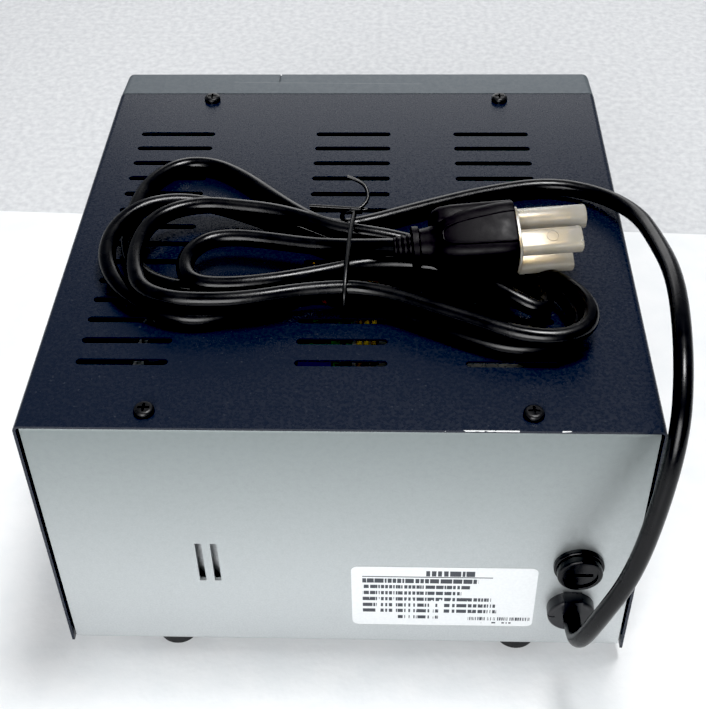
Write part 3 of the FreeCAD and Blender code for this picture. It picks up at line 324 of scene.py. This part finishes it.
panel_paint = finish("panel_paint", (0.42, 0.44, 0.46), (0.38, 0.40, 0.42), 2200.0, 0.45, 0.00002)
panel_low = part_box("front_panel")[0]
window_low, window_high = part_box("display_window")
across, _, upward = place_of(panel_paint)
surround = reckon(panel_paint, "MULTIPLY",
                  within(panel_paint, across, window_low.x - 2 * MM, window_high.x + 2 * MM),
                  within(panel_paint, upward, window_low.z - 1 * MM, window_high.z + 1 * MM))
lay_over(panel_paint, surround, (0.02, 0.022, 0.025))
rule_z = 0.0475
rule_half_length = 0.092
rule = reckon(panel_paint, "MULTIPLY", within(panel_paint, upward, rule_z, rule_z + 0.4 * MM),
              within(panel_paint, across, -rule_half_length, rule_half_length))
lay_over(panel_paint, rule, (0.03, 0.03, 0.035))
dress(panel_paint, "front_panel")
mark_black = finish("mark_black", (0.02, 0.02, 0.022), (0.014, 0.014, 0.016), 2000.0, 0.5, 0.00001)
knob_boxes = [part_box(f"knob_{number}") for number in (1, 2, 3, 4)]
dial_radius = 12.2
marks = bmesh.new()
for low, high in knob_boxes:
    centre = Vector(((low.x + high.x) / 2, panel_low.y - 0.04 * MM, (low.z + high.z) / 2))
    for step in range(11):
        turned = Matrix.Rotation(math.radians(-150 + 30 * step), 4, "Y")
        length = 3.0 if step % 5 == 0 else 1.8
        outward = Matrix.Translation((0, 0, (dial_radius + length / 2) * MM))
        bar(marks, (0.5 * MM, 0.1 * MM, length * MM), Matrix.Translation(centre) @ turned @ outward)
dial_marks = finished_piece("dial_marks", marks, mark_black, "case")

# ---------------------------------------------------------------- Readouts
# Two red seven-segment blocks on a board behind a smoked red window, and three small lamps.


def tune(material, socket, value):
    """Sets one more of a material's shader values."""
    material.node_tree.nodes["Principled BSDF"].inputs[socket].default_value = value


window_red = finish("window_red", (0.30, 0.02, 0.02), (0.24, 0.015, 0.015), 900.0, 0.08, 0.00001)
tune(window_red, "Transmission Weight", 0.85)
tune(window_red, "IOR", 1.49)
dress(window_red, "display_window")
block_grey = finish("block_grey", (0.10, 0.09, 0.09), (0.07, 0.06, 0.06), 1200.0, 0.45, 0.00002)
dress(block_grey, "volt_display", "amp_display")
lit_red = finish("lit_red", (0.9, 0.06, 0.03), (0.7, 0.04, 0.02), 900.0, 0.35, 0.00001)
tune(lit_red, "Emission Color", (1.0, 0.08, 0.03, 1.0))
tune(lit_red, "Emission Strength", 1.6)
# The segments go clockwise from the top, a to f, with g in the middle.
segments_lit = {"0": "abcdef", "1": "bc", "2": "abdeg", "5": "acdfg"}
segment_places = {"a": (0, 1, 0), "b": (1, 0.5, 1), "c": (1, -0.5, 1), "d": (0, -1, 0), "e": (-1, -0.5, 1),
                  "f": (-1, 0.5, 1), "g": (0, 0, 0)}
figure_pitch = 14.5 * MM
half_wide = 3.6 * MM
half_tall = 6.6 * MM
stroke = 1.3 * MM
thick = 0.3 * MM
for readout, figures, point_at in (("volt_display", "120", 6.6), ("amp_display", "150", -7.8)):
    low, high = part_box(readout)
    centre = Vector(((low.x + high.x) / 2, low.y - 0.1 * MM, (low.z + high.z) / 2))
    figure_mesh = bmesh.new()
    for index, figure in enumerate(figures):
        middle = centre + Vector(((index - 1) * figure_pitch, 0, 0))
        for letter in segments_lit[figure]:
            right, up, upright = segment_places[letter]
            size = (stroke, thick, 5.6 * MM) if upright else (5.2 * MM, thick, stroke)
            lean = up * 0.7 * MM
            shift = Vector((right * half_wide + lean, 0, up * half_tall))
            bar(figure_mesh, size, Matrix.Translation(middle + shift))
    decimal_point = centre + Vector((point_at * MM, 0, -half_tall))
    bar(figure_mesh, (stroke, thick, stroke), Matrix.Translation(decimal_point))
    lit_figures = finished_piece(f"{readout}_figures", figure_mesh, lit_red, "case")
led_epoxy = finish("led_epoxy", (0.75, 0.10, 0.05), (0.6, 0.06, 0.03), 700.0, 0.2, 0.00001)
tune(led_epoxy, "Emission Color", (1.0, 0.12, 0.05, 1.0))
tune(led_epoxy, "Emission Strength", 0.6)
dress(led_epoxy, "indicator_leds")

# ---------------------------------------------------------------- Knobs
# Black moulded knobs pressed on the potentiometers' shafts, each with a white pointer line that
# turns with it.
knob_black = finish("knob_black", (0.022, 0.022, 0.024), (0.015, 0.015, 0.017), 1100.0, 0.42, 0.00005)
mark_white = finish("mark_white", (0.82, 0.82, 0.80), (0.74, 0.74, 0.72), 2000.0, 0.45, 0.00001)
pointer_size = (0.85 * MM, 0.5 * MM, 6.4 * MM)
pointer_y = panel_low.y - 13.68 * MM
for number, (low, high) in enumerate(knob_boxes, 1):
    dress(knob_black, f"knob_{number}")
    line = bmesh.new()
    on_knob = Vector(((low.x + high.x) / 2, pointer_y, (low.z + high.z) / 2 + 4.3 * MM))
    bar(line, pointer_size, Matrix.Translation(on_knob))
    pointer = finished_piece(f"knob_pointer_{number}", line, mark_white, f"knob_{number}")

# ---------------------------------------------------------------- Power switch
# A glossy rocker in a black nylon housing snapped into the panel.
nylon_black = finish("nylon_black", (0.010, 0.010, 0.012), (0.006, 0.006, 0.008), 900.0, 0.32, 0.00004)
rocker_black = finish("rocker_black", (0.016, 0.016, 0.018), (0.011, 0.011, 0.013), 800.0, 0.26, 0.00003)
dress(nylon_black, "switch_housing")
dress(rocker_black, "power_rocker")

# ---------------------------------------------------------------- Output terminals
# Brass studs through insulating bases in the panel, each with a washer and a fluted moulded cap:
# black, green and red.
dress(nylon_black, "post_bases")
dress(brass, "post_studs", "post_nuts", "post_washer_1", "post_washer_2", "post_washer_3")
cap_tones = [("cap_black", (0.012, 0.012, 0.013), (0.008, 0.008, 0.009)),
             ("cap_green", (0.02, 0.28, 0.09), (0.015, 0.20, 0.06)),
             ("cap_red", (0.55, 0.02, 0.02), (0.42, 0.014, 0.014))]
for number, (name, colour, shade) in enumerate(cap_tones, 1):
    dress(finish(name, colour, shade, 700.0, 0.24, 0.00003), f"post_cap_{number}")

# ---------------------------------------------------------------- Bezel
# A moulded grey plastic frame screwed to the subpanel, its faces lightly grained; a fine scratch
# runs along the top.
bezel_grey = finish("bezel_grey", (0.088, 0.104, 0.118), (0.074, 0.088, 0.100), 1800.0, 0.5, 0.00005)
across, along, _ = place_of(bezel_grey)
bezel_low, bezel_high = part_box("front_bezel")
scratch_line = reckon(bezel_grey, "ADD", along, reckon(bezel_grey, "MULTIPLY", across, 0.02))
scratch_y = (bezel_low.y + bezel_high.y) / 2
scratch = reckon(bezel_grey, "MULTIPLY", within(bezel_grey, scratch_line, scratch_y, scratch_y + 0.25 * MM),
                 within(bezel_grey, across, -0.03, 0.055))
lay_over(bezel_grey, reckon(bezel_grey, "MULTIPLY", scratch, 0.5), (0.25, 0.27, 0.28))
dress(bezel_grey, "front_bezel")

# ---------------------------------------------------------------- Fuse holder and strain relief
# A black phenolic holder with its coin-slot cap, held by a nut inside, with a glass fuse; and
# below it the nylon bush that grips the lead.
phenolic_black = finish("phenolic_black", (0.005, 0.005, 0.006), (0.003, 0.003, 0.004), 800.0, 0.22, 0.00002)
tune(phenolic_black, "Specular IOR Level", 0.25)
dress(phenolic_black, "fuse_holder", "fuse_nut", "fuse_cap")
fuse_glass = finish("fuse_glass", (0.85, 0.88, 0.88), (0.78, 0.81, 0.81), 600.0, 0.06, 0.00001)
tune(fuse_glass, "Transmission Weight", 0.7)
dress(fuse_glass, "fuse")
dress(nylon_black, "strain_relief")

# ---------------------------------------------------------------- Top cover
# One sheet of steel bent into a U, with three rows of punched vents, powder coated dark
# blue-grey; along its rear edge the coat is chipped to bright metal here and there.
cover_paint = finish("cover_paint", (0.0075, 0.0115, 0.024), (0.006, 0.0095, 0.020), 2600.0, 0.27, 0.00002)
tune(cover_paint, "Specular IOR Level", 0.42)
across, along, upward = place_of(cover_paint)
rear_edge = reckon(cover_paint, "GREATER_THAN", along, rear - 0.2 * MM)
top_edge = reckon(cover_paint, "GREATER_THAN", upward, top - 0.5 * MM)
rim = reckon(cover_paint, "MULTIPLY", rear_edge, top_edge)
chipped_run = reckon(cover_paint, "ADD", within(cover_paint, across, -0.058, -0.027),
                     within(cover_paint, across, -0.0755, -0.0715))
chips = speckle(cover_paint, 420.0, 0.49, 2.0, (0.4, 1.0, 1.0))
edge_chips = reckon(cover_paint, "MULTIPLY", rim, reckon(cover_paint, "MULTIPLY", chipped_run, chips))
lay_over(cover_paint, edge_chips, (0.75, 0.76, 0.76))
corner = reckon(cover_paint, "MULTIPLY", rim, reckon(cover_paint, "GREATER_THAN", across, 0.1025))
corner_chips = reckon(cover_paint, "MULTIPLY", corner, speckle(cover_paint, 600.0, 0.5))
lay_over(cover_paint, corner_chips, (0.6, 0.61, 0.62))
dust = reckon(cover_paint, "MULTIPLY", speckle(cover_paint, 900.0, 0.76, 1.0), 0.18)
lay_over(cover_paint, dust, (0.16, 0.17, 0.19))
dress(cover_paint, "top_cover")

# ---------------------------------------------------------------- Cover screws and feet
# Black pan-head screws hold the cover; the moulded rubber feet have bright zinc screws.
screw_black = finish("screw_black", (0.012, 0.012, 0.013), (0.006, 0.006, 0.007), 1200.0, 0.3, 0.00004, 0.3)
foot_rubber = finish("foot_rubber", (0.016, 0.016, 0.017), (0.010, 0.010, 0.011), 600.0, 0.7, 0.00008)
dress(screw_black, "cover_screws")
dress(foot_rubber, "feet")
dress(screw_zinc, "feet_screws")

# ---------------------------------------------------------------- Rating label
# White self-adhesive polyester with a title bar, a rule, plain broken lines and a strip of bars;
# it carries no words.
label_white = finish("label_white", (0.77, 0.79, 0.80), (0.73, 0.75, 0.765), 900.0, 0.35, 0.00001)
across, _, upward = place_of(label_white)
label_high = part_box("rating_label")[1]
# Each row: middle below the top edge, height, start and stop from the edge by the fuse's far
# side, all in mm, then how fine and how open its breaks are.
rows = [(3.6, 3.0, 27.0, 44.5, 900.0, 0.40), (5.6, 0.5, 4.0, 51.0, 1.0, 0.0),
        (7.9, 2.5, 4.0, 46.0, 1100.0, 0.40), (11.4, 2.0, 4.0, 43.0, 1300.0, 0.43),
        (15.0, 2.0, 4.0, 40.0, 1300.0, 0.44), (18.6, 2.0, 4.0, 51.0, 1300.0, 0.43),
        (22.2, 2.0, 4.0, 53.0, 1300.0, 0.44), (25.6, 2.0, 4.0, 55.0, 1300.0, 0.43),
        (29.4, 1.9, 17.0, 32.0, 1300.0, 0.46), (30.0, 2.0, 43.0, 66.0, 2600.0, 0.49),
        (32.4, 0.9, 48.0, 60.0, 1300.0, 0.47)]
for down, tall, start, stop, scale, threshold in rows:
    band = within(label_white, upward, label_high.z - (down + tall / 2) * MM,
                  label_high.z - (down - tall / 2) * MM)
    run = within(label_white, across, label_high.x - stop * MM, label_high.x - start * MM)
    broken = speckle(label_white, scale, threshold, 0.0, (1.0, 0.0, 0.02))
    row = reckon(label_white, "MULTIPLY", reckon(label_white, "MULTIPLY", band, run), broken)
    lay_over(label_white, row, (0.035, 0.04, 0.05))
dress(label_white, "rating_label")

# ---------------------------------------------------------------- Mains lead
# Black round PVC lead, 6.35 mm thick: out of the strain relief, up past the case's corner,
# down onto the cover, to and fro through the wire tie, and into the plug's tail.
# Points are millimetres across, forward from the cover's rear edge and up from its top.
cord_diameter = 6.35 * MM
lead_route = [(-83.1, -1.0, -92.5), (-83.1, -12.0, -92.5), (-84.0, -19.5, -84.5), (-88.0, -21.5, -70.5),
              (-97.0, -20.0, -48.0), (-102.5, -15.0, -20.5), (-106.5, -6.5, 5.0), (-108.5, 8.5, 16.0),
              (-111.0, 32.0, 20.0), (-113.0, 58.0, 18.0), (-112.0, 85.0, 12.0), (-109.0, 108.5, 7.0),
              (-97.5, 125.0, 4.2), (-78.0, 132.5, 3.4), (-52.5, 126.0, 3.4), (-27.5, 115.5, 3.4),
              (-5.0, 105.0, 3.4)]
# The turns, each from the tie round one end and back to the tie, in the order they were laid.
large_left_turn = [(6, 103, 3.4), (18, 111, 3.4), (30, 123, 3.4), (43, 137, 3.4), (56, 146, 3.4),
                   (69, 146, 3.4), (79, 135, 3.4), (83, 118, 3.4), (83, 100, 3.4), (80, 84, 3.4),
                   (72, 72, 3.4), (59, 66, 3.4), (43, 66, 3.4), (26, 70, 3.4), (12, 74, 3.4),
                   (2, 76, 3.4)]
lower_right_turn = [(-14, 77.5, 3.4), (-34, 80, 3.4), (-52, 80, 3.4), (-65, 75, 4.5), (-76, 64, 5.5),
                    (-82, 51, 4.2), (-78, 39, 3.4), (-68, 35.5, 3.4), (-57, 35.5, 3.4), (-45, 40, 3.4),
                    (-32, 47, 3.4), (-19, 54, 3.4), (-8, 60, 3.4), (2, 65, 3.4)]
outer_left_turn = [(12, 65.5, 3.4), (22, 61, 3.4), (34, 54.5, 3.4), (46, 49.5, 3.4), (58, 49.5, 3.6),
                   (71, 56, 4.4), (82, 66, 5.8), (88, 80, 7.4), (87, 95, 8.8), (79, 107, 9.8),
                   (68, 112, 9.4), (57, 113, 8.0), (44, 111.5, 5.4), (28, 105, 3.6), (12, 95, 3.4),
                   (2, 89, 3.4)]
upper_right_turn = [(-16, 91, 3.4), (-36, 92, 3.4), (-54, 86, 4.0), (-68, 75, 6.0), (-79, 63, 8.4),
                    (-85, 51, 9.4), (-83.5, 40, 9.6), (-75, 34, 9.7), (-65, 34, 9.8), (-55, 37, 9.8),
                    (-45, 42.5, 9.8), (-32, 48.5, 9.8), (-18, 55.5, 9.8), (-6, 59, 9.8), (2, 59, 9.8)]
inner_left_turn = [(16, 57, 9.9), (33, 52.5, 10.0), (48, 51.5, 10.0), (61, 52.5, 10.0), (71, 58, 10.0),
                   (75.5, 70, 10.0), (76.5, 84, 10.0), (73.5, 97, 10.0), (66, 105, 10.2),
                   (54, 108.5, 10.4), (41, 106.5, 10.4), (28, 104.5, 10.2), (15, 99.5, 10.0),
                   (2, 93, 9.8)]
inner_right_turn = [(-14, 90, 9.6), (-32, 86, 7.0), (-48, 79, 4.6), (-62, 72, 4.0), (-71, 62, 4.4),
                    (-69, 51, 6.4), (-58, 56.5, 9.0), (-46, 67.5, 9.5), (-32, 72, 9.6), (-18, 74, 9.6),
                    (-5, 72.5, 9.6), (4, 69, 9.7)]
last_left_turn = [(14, 65.5, 9.9), (27, 62, 10.0), (41, 60, 10.0), (52, 61, 10.0), (57, 67.5, 10.0),
                  (57, 78, 10.0), (51, 86.5, 10.0), (41, 88.5, 10.0), (28, 86.5, 10.0), (14, 83, 10.4),
                  (2, 80.5, 11.6), (-8, 76.5, 14.6), (-14, 74, 16.6), (-19.5, 72.4, 17.8)]
route = (lead_route + large_left_turn + lower_right_turn + outer_left_turn + upper_right_turn
         + inner_left_turn + inner_right_turn + last_left_turn)


def in_frame(point):
    """From millimetres off the cover's rear top edge to metres in the frame."""
    x, back, up = point
    return Vector((x * MM, rear - back * MM, top + up * MM))


def round_line(name, route, radius, material, smoothness=8):
    """A smooth round cord through its control points."""
    curve = bpy.data.curves.new(name, "CURVE")
    curve.dimensions = "3D"
    curve.bevel_depth = radius
    curve.bevel_resolution = smoothness
    curve.resolution_u = 10
    curve.use_fill_caps = True
    spline = curve.splines.new("NURBS")
    spline.points.add(len(route) - 1)
    for point, at in zip(spline.points, route):
        point.co = (*in_frame(at), 1.0)
    spline.order_u = 3
    spline.use_endpoint_u = True
    curve.materials.append(material)
    line = bpy.data.objects.new(name, curve)
    bpy.context.scene.collection.objects.link(line)
    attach(line, "case")
    return line


cord_black = finish("cord_black", (0.0035, 0.0035, 0.0045), (0.002, 0.002, 0.0025), 350.0, 0.24, 0.00005)
tune(cord_black, "Specular IOR Level", 0.32)
mains_lead = round_line("mains_lead", route, cord_diameter / 2, cord_black)
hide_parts("power_cord", "cord_hank")

# ---------------------------------------------------------------- Wire tie
# A thin plastic-covered wire wound round the turns, its two ends twisted together and left up.
tie_black = finish("tie_black", (0.005, 0.005, 0.006), (0.003, 0.003, 0.003), 500.0, 0.3, 0.00004)
tie_radius = 0.95 * MM
tie_loop = [(-3, 97, 15), (-2, 88, 15.6), (-1.5, 76, 15.4), (-1, 64, 14.6), (-0.6, 55, 11),
            (-0.5, 53.6, 6), (-0.4, 54.5, 1.1), (0, 70, 1.0), (1, 90, 1.0), (2, 104, 1.0),
            (2.5, 107.5, 2.5), (2, 108, 7), (0, 104, 11.5), (-2.5, 97.5, 15.2), (-5.5, 96, 16.2)]
tie_tail = [(0, 99, 13.4), (-3, 97.5, 15.2), (-6, 99.5, 16.0), (-8, 103, 17.0), (-7.5, 107, 18.5),
            (-5, 110, 20), (0, 111.5, 21)]
tie_second_tail = [(-2, 96, 15.4), (-5, 98.2, 15.0), (-9, 99, 14.8), (4, 101.5, 14.0), (14, 103.0, 13.6)]
wire_tie = round_line("wire_tie", tie_loop, tie_radius, tie_black, 4)
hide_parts("cord_tie")
for tie_end, bend in (("wire_tie_tail", tie_tail), ("wire_tie_stub", tie_second_tail)):
    loose_end = round_line(tie_end, bend, tie_radius * 0.75, tie_black, 4)

# ---------------------------------------------------------------- Mains plug
# A moulded PVC plug: a ribbed tail, a collar and a body with a lobe along the pin's side and an
# oval thumb recess on each broad side.  It is drawn along its own Z and laid on the turns.
plug_start = in_frame((-24.0, 72.0, 17.8))
plug_axis = Vector((-1.0, -0.09, 0.03)).normalized()
plug_roll = math.radians(22.0)
away_from_pin = Vector((0.0, math.cos(plug_roll), -math.sin(plug_roll)))
across_plug = plug_axis.cross(away_from_pin).normalized()
away_from_pin = across_plug.cross(plug_axis).normalized()
plug_turn = Matrix((away_from_pin, across_plug, plug_axis)).transposed().to_4x4()
plug_place = Matrix.Translation(plug_start) @ plug_turn
plug_face = 36.0 * MM
blade_line = 4.5 * MM
pin_line = blade_line - 11.9 * MM
blade_gap = 12.7 * MM


def loft(stations, sides=64):
    """A closed body through stations of (height, half width, half depth, squareness), in mm."""
    mesh = bmesh.new()
    bmesh.ops.create_circle(mesh, cap_ends=True, radius=1.0, segments=sides)
    ring = list(mesh.edges)
    for _ in stations[1:]:
        grown = bmesh.ops.extrude_edge_only(mesh, edges=ring)["geom"]
        lifted = [part for part in grown if isinstance(part, bmesh.types.BMVert)]
        ring = [part for part in grown if isinstance(part, bmesh.types.BMEdge)]
        bmesh.ops.translate(mesh, verts=lifted, vec=(0.0, 0.0, 1.0))
    bmesh.ops.contextual_create(mesh, geom=ring)
    for vert in mesh.verts:
        height, wide, deep, square = stations[round(vert.co.z)]
        angle = math.atan2(vert.co.y, vert.co.x)
        run, rise = math.cos(angle), math.sin(angle)
        vert.co = (math.copysign(abs(run) ** (2 / square), run) * wide * MM,
                   math.copysign(abs(rise) ** (2 / square), rise) * deep * MM, height * MM)
    return mesh


def add_ring(mesh, radius, thick, place, segments=40, sides=8):
    """Adds a plain round bead to a mesh."""
    before = set(mesh.verts)
    made = bmesh.ops.create_circle(mesh, radius=thick, segments=sides)["verts"]
    bmesh.ops.rotate(mesh, verts=made, matrix=Matrix.Rotation(math.radians(90), 3, "X"))
    bmesh.ops.translate(mesh, verts=made, vec=(radius, 0.0, 0.0))
    edges = list({edge for vert in made for edge in vert.link_edges})
    bmesh.ops.spin(mesh, geom=made + edges, axis=(0, 0, 1), cent=(0, 0, 0), steps=segments,
                   angle=math.tau, use_merge=True)
    bead = [vert for vert in mesh.verts if vert not in before]
    bmesh.ops.transform(mesh, matrix=place, verts=bead)
    return bead


def join_in(mesh, other):
    """Moves another working mesh into this one."""
    data = bpy.data.meshes.new("joined")
    other.to_mesh(data)
    other.free()
    mesh.from_mesh(data)
    bpy.data.meshes.remove(data)


def rounded(angle):
    """Cosine and sine of an angle, squared off towards a rounded oblong."""
    run, rise = math.cos(angle), math.sin(angle)
    return math.copysign(abs(run) ** 0.55, run), math.copysign(abs(rise) ** 0.55, rise)


plug_black = finish("plug_black", (0.0065, 0.0055, 0.007), (0.004, 0.0035, 0.0045), 900.0, 0.40, 0.00010)
tune(plug_black, "Specular IOR Level", 0.12)
plug_stations = [(-6.5, 3.7, 3.7, 2.0), (-6.2, 4.1, 4.1, 2.0), (-3.0, 4.4, 4.4, 2.0),
                 (-0.3, 4.7, 4.7, 2.0), (-0.2, 6.9, 6.9, 2.2), (0.2, 7.3, 7.3, 2.2),
                 (2.2, 7.3, 7.3, 2.2), (2.6, 6.9, 6.9, 2.2), (2.7, 6.2, 6.2, 2.1), (5.5, 6.6, 6.6, 2.2),
                 (7.2, 7.0, 7.0, 2.4), (8.4, 7.6, 7.4, 2.8), (9.6, 8.3, 8.0, 3.1), (11.8, 9.0, 8.8, 3.6),
                 (16.0, 9.9, 9.6, 4.2), (22.0, 10.6, 10.5, 4.6), (30.0, 11.2, 11.4, 5.0),
                 (35.2, 11.4, 11.7, 5.0), (35.8, 11.2, 11.5, 5.0), (36.0, 10.8, 11.1, 5.0)]
plug_mesh = loft(plug_stations)
# The pin's side has its own round-ended lobe, a little proud of the blades' part.
lobe_stations = [(6.6, 1.5, 3.4, 2.2), (6.9, 2.8, 5.6, 2.4), (8.0, 3.9, 7.2, 2.8), (10.0, 4.6, 8.2, 3.1),
                 (14.0, 4.9, 8.6, 3.3), (24.0, 5.0, 8.8, 3.4), (35.2, 5.0, 9.0, 3.4),
                 (35.9, 4.7, 8.7, 3.4)]
lobe = loft(lobe_stations, 48)
bmesh.ops.translate(lobe, verts=lobe.verts, vec=(-8.2 * MM, 0.0, 0.0))
join_in(plug_mesh, lobe)
# The thumb recess: a bead along a tapered oval that runs out at the face, on each broad side.
recess_middle = 26.5 * MM
recess_half = 16.1 * MM
recess_end = 35.7 * MM
for side in (-1, 1):
    for vert in add_ring(plug_mesh, 1.0, 0.05, Matrix.Identity(4), 72):
        swell = (math.hypot(vert.co.x, vert.co.y) - 1.0) * 8.0 * MM
        run, rise = rounded(math.atan2(vert.co.y, vert.co.x))
        along = min(recess_middle + (recess_half + swell) * run, recess_end)
        taper = 3.9 * MM + 2.4 * MM * (along - 10.0 * MM) / (26.0 * MM)
        reach = along / MM
        below = [station for station in plug_stations if station[0] <= reach][-1]
        above = [station for station in plug_stations if station[0] > reach][0]
        share = (reach - below[0]) / (above[0] - below[0])
        surface = (below[2] + (above[2] - below[2]) * share - 0.12) * MM
        vert.co = ((taper + swell) * rise + 0.9 * MM, side * (surface + vert.co.z * 8.0 * MM), along)
for rib in range(9):
    # Fine grip ribs over the pin's side of the body.
    ridge = bmesh.ops.create_cube(plug_mesh, size=1.0)["verts"]
    bmesh.ops.scale(plug_mesh, verts=ridge, vec=(0.8 * MM, 12.0 * MM, 0.7 * MM))
    bmesh.ops.translate(plug_mesh, verts=ridge, vec=(-13.1 * MM, 0.0, (17.0 + 1.7 * rib) * MM))
    edges = list({edge for vert in ridge for edge in vert.link_edges})
    bmesh.ops.bevel(plug_mesh, geom=edges, offset=0.25 * MM, affect="EDGES", segments=2, profile=0.5,
                    material=-1)
for rib in range(3):
    tail_rib = Matrix.Translation((0, 0, (-5.2 + 1.8 * rib) * MM))
    add_ring(plug_mesh, (4.35 + 0.13 * rib) * MM, 0.45 * MM, tail_rib, 48)
plug_moulding = finished_piece("plug_moulding", plug_mesh, plug_black, "case", plug_place)
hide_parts("plug_body")
blade_brass = finish("blade_brass", (0.78, 0.62, 0.34), (0.62, 0.47, 0.24), 300.0, 0.28, 0.00003, 1.0,
                     (1.0, 6.0, 6.0))
dress(blade_brass, "plug_blades")

# ---------------------------------------------------------------- Plug guard
# A milky polyethylene guard pushed over the blades: one sleeve a blade, a round one for the
# pin, all joined by a thin plate against the plug's face.  It slides off along the plug.
guard_milky = finish("guard_milky", (0.79, 0.76, 0.70), (0.70, 0.66, 0.56), 160.0, 0.22, 0.00005)
tune(guard_milky, "Transmission Weight", 0.72)
tune(guard_milky, "IOR", 1.5)
tune(guard_milky, "Subsurface Weight", 0.3)
tune(guard_milky, "Subsurface Radius", (0.004, 0.0035, 0.0025))
guard_mesh = loft([(36.3, 10.4, 9.0, 3.4), (36.4, 10.8, 9.4, 3.4), (37.2, 10.8, 9.4, 3.4),
                   (37.4, 10.4, 9.0, 3.4)])


def add_sleeve(mesh, along_face, across_face, half_wide, half_deep, length, square):
    """A hollow closed-ended sleeve, thin walled, standing on the plug's face."""
    sides = 40
    base = 37.3
    end = 36.3 + length
    wall = 0.9
    sleeve = loft([(base, half_wide, half_deep, square), (end - 0.8, half_wide, half_deep, square),
                   (end - 0.2, half_wide - 0.3, half_deep - 0.3, square),
                   (end, half_wide - 0.9, half_deep - 0.9, square),
                   (end - wall, half_wide - wall - 0.3, half_deep - wall - 0.3, square),
                   (base + 0.01, half_wide - wall, half_deep - wall, square)], sides)
    lids = [face for face in sleeve.faces if len(face.verts) == sides]
    bmesh.ops.delete(sleeve, geom=lids, context="FACES_ONLY")
    bmesh.ops.translate(sleeve, verts=sleeve.verts, vec=(along_face, across_face, 0.0))
    join_in(mesh, sleeve)


add_sleeve(guard_mesh, pin_line - 0.4 * MM, 0.0, 4.2, 4.2, 26.0, 2.2)
add_sleeve(guard_mesh, blade_line + 0.6 * MM, -blade_gap / 2, 4.4, 2.5, 22.2, 5.0)
add_sleeve(guard_mesh, blade_line + 0.6 * MM, blade_gap / 2, 4.4, 2.5, 20.5, 5.0)
blade_hole = Matrix.Translation((blade_line, -blade_gap / 2 - 2.48 * MM, plug_face + 12.0 * MM))
add_ring(guard_mesh, 2.0 * MM, 0.16 * MM, blade_hole @ Matrix.Rotation(math.radians(90), 4, "X"), 32, 6)
plug_guard = finished_piece("plug_guard", guard_mesh, guard_milky, "plug_cap", plug_place)
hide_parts("plug_cap")
